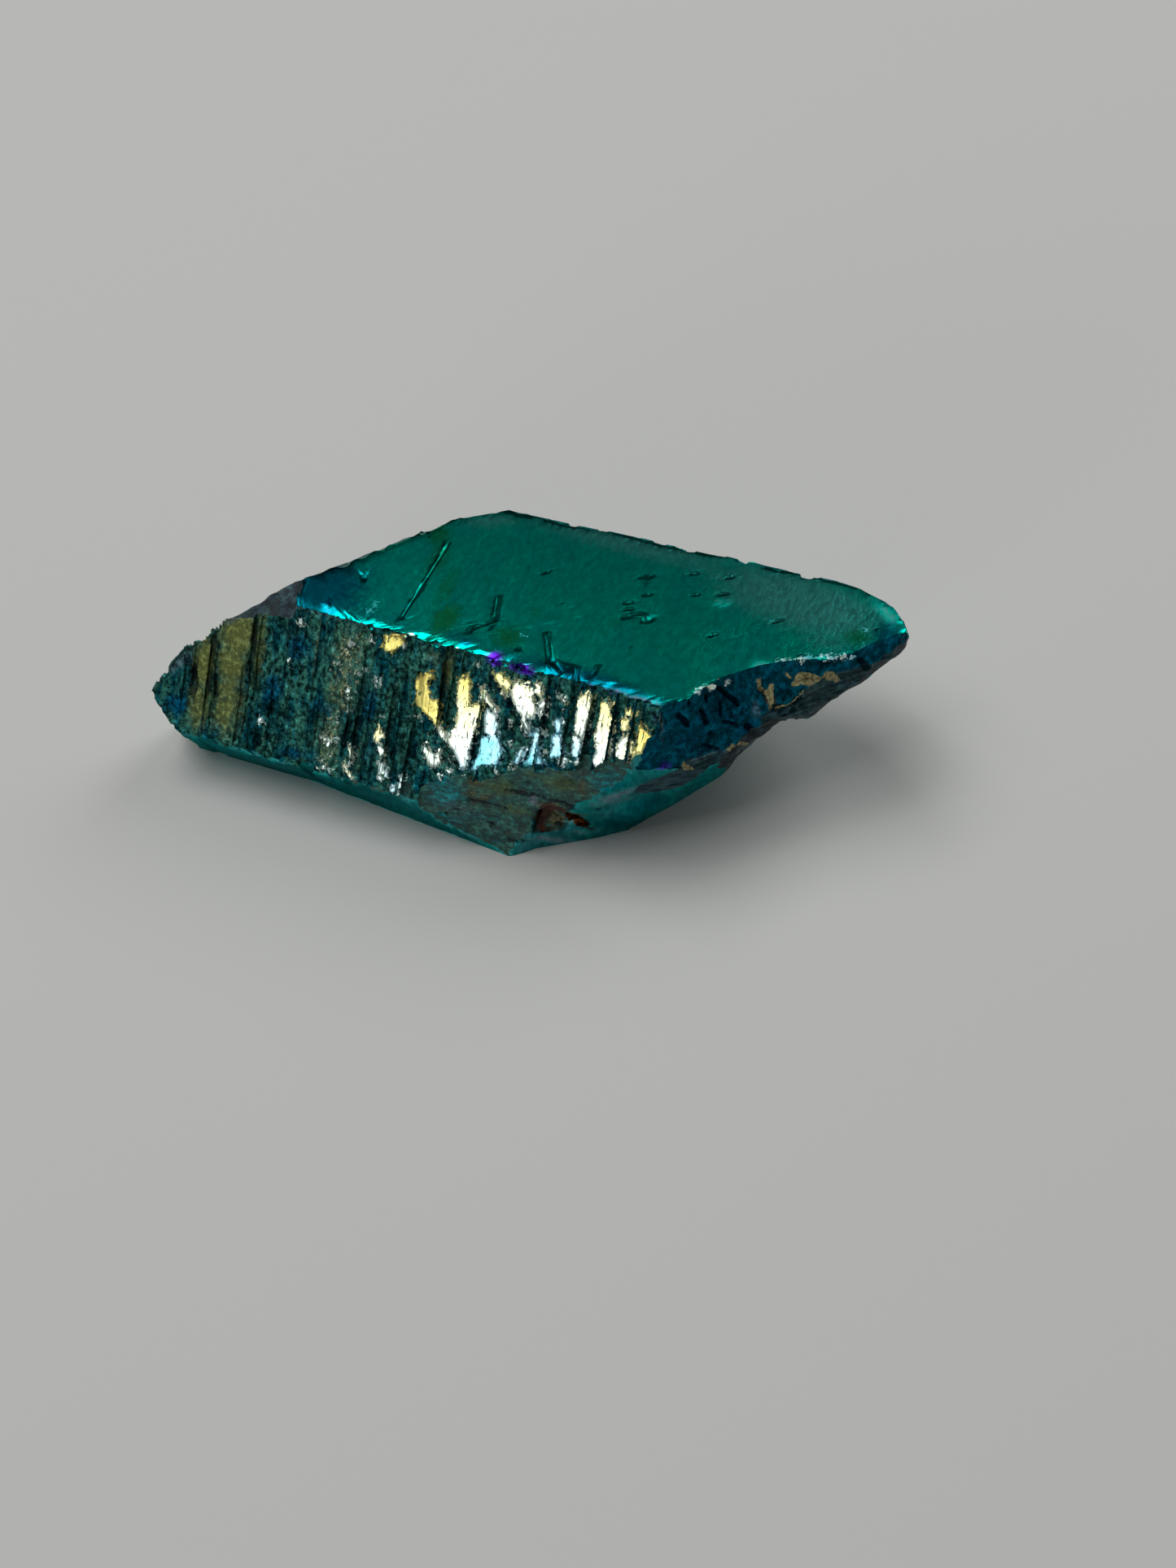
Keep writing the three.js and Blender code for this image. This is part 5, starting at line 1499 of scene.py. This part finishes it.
def new_material(name):
    """A material with its node tree and its Principled shader."""
    material = bpy.data.materials.new(name)
    material.use_nodes = True
    tree = material.node_tree
    return material, tree, tree.nodes["Principled BSDF"]


EDGE_LUMPS = (0.25, 0.3, 0.3)  # how coarse the ragged edges of marks are, in mm
MARK_EDGES = {  # how ragged and how soft the edge of each mark is, in mm
    "bare": (0.12, 0.03), "line": (0.1, 0.05), "pocket": (0.12, 0.08), "flake": (0.14, 0.03),
}


def edged_mask(tree, groups, kind, position):
    """The ragged mask of one edged mark."""
    raggedness, softness = MARK_EDGES[kind]
    return use_group(tree, groups["ragged"], Distance=mark(tree, kind), Position=position,
                     Lumps=EDGE_LUMPS, Raggedness=raggedness, Softness=softness)["Mask"]


def two_tone(tree, groups, position, tones):
    """A colour that drifts between two others."""
    return use_group(tree, groups["mottle"], Position=position, Lumps=tones.lumps,
                     Sharpness=tones.sharpness, First=tones.first, Second=tones.second)["Colour"]


def ground_colour(tree, groups, position, look, grains):
    """The film's drifting colour with its patches, grains and bare quartz; and how bare it is."""
    base = two_tone(tree, groups, position, look)
    patches = {**PATCHES, **look.patches}
    film = use_group(tree, groups["tint"], Base=base, Position=position, **patches)["Colour"]
    bare = edged_mask(tree, groups, "bare", position)
    quartz = two_tone(tree, groups, position, BARE_TONES)
    colour = mix_colours(tree, bare, film, quartz)
    even = calculate(tree, "MULTIPLY", mark(tree, "olive"), CALM_SHADE)
    shade = mix_colours(tree, even, grains["Shade"], (1, 1, 1))
    return mix_colours(tree, 1.0, colour, shade, "MULTIPLY"), bare


def damaged_colour(tree, groups, position, look, colour):
    """Wear with painted edge highlight, dark lines with painted shade in the upper face's slits and pits,
    the stained pocket and pale flakes over a colour; and where the flakes lie.
    """
    # Pale edge wear, partly painted edge highlight.
    worn_and_lit = use_group(tree, groups["wear"], Position=position, Amount=look.wear)["Mask"]
    colour = mix_colours(tree, calculate(tree, "MULTIPLY", worn_and_lit, WEAR_AND_HIGHLIGHT_STRENGTH), colour, WEAR_AND_HIGHLIGHT_COLOUR)
    # Dark lines, and painted shade in the upper face's slits and pits.
    line = edged_mask(tree, groups, "line", position)
    colour = mix_colours(tree, calculate(tree, "MULTIPLY", line, look.line), colour, LINE_COLOUR)
    pocket = edged_mask(tree, groups, "pocket", position)
    colour = mix_colours(tree, pocket, colour, two_tone(tree, groups, position, POCKET_TONES))
    flake = edged_mask(tree, groups, "flake", position)
    return mix_colours(tree, flake, colour, two_tone(tree, groups, position, FLAKE_TONES)), flake


def surface_material(name, groups, look):
    """One finish of the crystal, with every mark laid over its own drifting base colours."""
    material, tree, shader = new_material(name)
    position = use_group(tree, groups["position"])["Position"]
    grains = use_group(tree, groups["grains"], Position=position, Lumps=look.grains,
                       Dark=look.shade[0], Bright=look.shade[1])
    colour, bare = ground_colour(tree, groups, position, look, grains)
    colour, flake = damaged_colour(tree, groups, position, look, colour)
    # Pale grains, and painted glints where they are bright.
    specks_and_glints = use_group(tree, groups["specks_and_glints"], Position=position, **SPECK_AND_GLINT_COLOURS)
    colour = mix_colours(tree, specks_and_glints["Mask"], colour, specks_and_glints["Colour"])
    # Painted highlights: pale film colour over the shining ledges and the painted glints.
    gleam = use_group(tree, groups["gleam"], Position=position)["Mask"]
    film = use_group(tree, groups["film"], Order=mark(tree, "order"), Position=position)["Colour"]
    tree.links.new(mix_colours(tree, gleam, colour, film), shader.inputs["Base Color"])
    dull = calculate(tree, "MAXIMUM", calculate(tree, "MAXIMUM", flake, bare), mark(tree, "frost"))
    shine = calculate(tree, "MAXIMUM", gleam, specks_and_glints["Mask"])
    surfaces = zip(("Metallic", "Roughness"), (look.metallic, look.roughness), DULL_SURFACE, SHINING_SURFACE)
    for label, plain, dulled, shining in surfaces:
        value = mix_numbers(tree, shine, mix_numbers(tree, dull, plain, dulled), shining)
        tree.links.new(value, shader.inputs[label])
    shader.inputs["Specular Tint"].default_value = (*look.tint, 1)
    steep = mix_numbers(tree, gleam, look.bump, look.bump * CALM_BUMP)
    bump = add_node(tree, "ShaderNodeBump", None, Strength=1.0, Distance=MM)
    tree.links.new(calculate(tree, "MULTIPLY", grains["Height"], steep), bump.inputs["Height"])
    tree.links.new(bump.outputs["Normal"], shader.inputs["Normal"])
    return material


FLOOR_ROUGHNESS = 0.9
FLOOR_SHINE = 0.2


def floor_material(colour):
    """Plain matte pale board."""
    material, _, shader = new_material("Pale board")
    shader.inputs["Base Color"].default_value = (*colour, 1)
    shader.inputs["Roughness"].default_value = FLOOR_ROUGHNESS
    shader.inputs["Specular IOR Level"].default_value = FLOOR_SHINE
    return material


# ---------------------------------------------------------------- stage

CAMERA_PLACE = (0.03630, -0.08860, 0.10939)
CAMERA_RIGHT = Vector((0.93765, 0.34759, 0.0))
CAMERA_AHEAD = Vector((-0.22343, 0.60271, -0.76604))
CAMERA_ANGLE = 28.0  # across the picture's width, in degrees
NEAREST_SEEN = 0.005  # in metres
ROOM_COLOUR = (0.98, 0.99, 1.0, 1)

Lamp = namedtuple("Lamp", "name place aim size power")  # metres and watts
LAMPS = (
    Lamp("Overhead softbox", (-0.177, 0.083, 0.46), (0, 0, 0), (0.28, 0.24), 0.86),
    Lamp("Left softbox", (-0.162, -0.136, 0.453), (0, 0, 0), (0.26, 0.24), 0.56),
    Lamp("Back softbox", (0.19, 0.32, 0.34), (0, 0, 0), (0.30, 0.24), 0.70),
    Lamp("Front softbox", (-0.09, -0.40, 0.075), (0, 0, 0.008), (0.13, 0.11), 0.25),
)


def add_lamp(lamp, strength):
    """One rectangular soft light, turned to what it lights."""
    data = bpy.data.lights.new(lamp.name, "AREA")
    data.shape = "RECTANGLE"
    data.size, data.size_y = lamp.size
    data.energy = lamp.power * strength
    light = bpy.data.objects.new(lamp.name, data)
    light.location = lamp.place
    ahead = Vector(lamp.aim) - Vector(lamp.place)
    light.rotation_euler = ahead.to_track_quat("-Z", "Y").to_euler()
    bpy.context.scene.collection.objects.link(light)


def add_camera():
    """The camera, level from side to side and looking down at the crystal."""
    data = bpy.data.cameras.new("Camera")
    data.sensor_fit = "HORIZONTAL"
    data.angle = math.radians(CAMERA_ANGLE)
    data.clip_start = NEAREST_SEEN
    camera = bpy.data.objects.new("Camera", data)
    up = CAMERA_RIGHT.cross(CAMERA_AHEAD)
    turn = Matrix((CAMERA_RIGHT, up, -CAMERA_AHEAD)).transposed()
    camera.matrix_world = Matrix.Translation(CAMERA_PLACE) @ turn.to_4x4()
    bpy.context.scene.collection.objects.link(camera)
    bpy.context.scene.camera = camera


# ---------------------------------------------------------------- add-on

def colour_setting(name, description, colour):
    """A colour that a user can change, given in 0 to 255 screen values."""
    return FloatVectorProperty(name=name, description=description, subtype="COLOR", size=3, min=0, max=1,
                               default=srgb(*colour))


class QuartzSettings(bpy.types.PropertyGroup):
    """The sizes and colours of the crystal that a user would change."""

    fineness: FloatProperty(
        name="Mesh step", description="Scale of the longest mesh edges", default=1.0, min=0.8, max=4.0,
    )
    relief: FloatProperty(
        name="Relief", description="Scale of the fine relief's depth", default=1.0, min=0, max=1.5,
    )
    face_colour: colour_setting("Face film", "Film colour of painted highlights of the smooth upper face", (0, 206, 176))
    stone_colour: colour_setting("Broken quartz", "Colour where the crystal broke", (60, 120, 104))


class StageSettings(bpy.types.PropertyGroup):
    """The floor and the lights."""

    floor_size: FloatProperty(
        name="Floor size", description="Side of the square floor", default=3.0, unit="LENGTH",
        subtype="DISTANCE",
    )
    floor_colour: colour_setting("Floor", "Colour of the floor", (205, 206, 203))
    lamp_strength: FloatProperty(
        name="Lamps", description="Scale of the lamps' power", default=1.0, min=0,
    )
    room_light: FloatProperty(
        name="Room light", description="Strength of the even light all round", default=0.06, min=0,
    )


class QUARTZ_OT_crystal(bpy.types.Operator):
    """Build the coated quartz crystal"""

    bl_idname = "quartz.crystal"
    bl_label = "Coated quartz crystal"

    def execute(self, context):
        settings = context.scene.quartz_settings
        points, triangles, labels, marks = crystal_surface(settings)
        crystal = build_mesh("coated_quartz_crystal", points, triangles, labels, marks)
        groups = build_groups()
        finishes = looks(settings)
        for finish in FINISHES:
            material = surface_material(f"Quartz {finish}", groups, finishes[finish])
            crystal.data.materials.append(material)
        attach(crystal, "root")
        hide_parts(NODE)
        return {"FINISHED"}


class QUARTZ_OT_stage(bpy.types.Operator):
    """Build the floor, the lights and the camera"""

    bl_idname = "quartz.stage"
    bl_label = "Floor, lights and camera"

    def execute(self, context):
        settings = context.scene.stage_settings
        half = settings.floor_size / 2
        mesh = bpy.data.meshes.new("Floor")
        corners = [(-half, -half, 0), (half, -half, 0), (half, half, 0), (-half, half, 0)]
        mesh.from_pydata(corners, [], [(0, 1, 2, 3)])
        floor = bpy.data.objects.new("Floor", mesh)
        floor.data.materials.append(floor_material(settings.floor_colour))
        context.scene.collection.objects.link(floor)
        for lamp in LAMPS:
            add_lamp(lamp, settings.lamp_strength)
        world = bpy.data.worlds.new("Room")
        world.use_nodes = True
        background = world.node_tree.nodes["Background"]
        background.inputs["Color"].default_value = ROOM_COLOUR
        background.inputs["Strength"].default_value = settings.room_light
        context.scene.world = world
        context.scene.view_settings.view_transform = "Standard"
        add_camera()
        return {"FINISHED"}


class QUARTZ_PT_panel(bpy.types.Panel):
    """The crystal's settings and buttons"""

    bl_label = "Coated quartz point"
    bl_space_type = "VIEW_3D"
    bl_region_type = "UI"
    bl_category = "Quartz"

    def draw(self, context):
        layout = self.layout
        for owner in (context.scene.quartz_settings, context.scene.stage_settings):
            for key in owner.__annotations__:
                layout.prop(owner, key)
        layout.operator(QUARTZ_OT_crystal.bl_idname)
        layout.operator(QUARTZ_OT_stage.bl_idname)


CLASSES = (QuartzSettings, StageSettings, QUARTZ_OT_crystal, QUARTZ_OT_stage, QUARTZ_PT_panel)


def register():
    """Adds the classes and their settings to Blender."""
    for one in CLASSES:
        bpy.utils.register_class(one)
    bpy.types.Scene.quartz_settings = PointerProperty(type=QuartzSettings)
    bpy.types.Scene.stage_settings = PointerProperty(type=StageSettings)


def unregister():
    """Takes the classes and their settings out of Blender."""
    del bpy.types.Scene.stage_settings
    del bpy.types.Scene.quartz_settings
    for one in reversed(CLASSES):
        bpy.utils.unregister_class(one)


def main():
    """Builds everything."""
    register()
    bpy.ops.quartz.crystal()
    bpy.ops.quartz.stage()


if __name__ == "__main__":
    main()
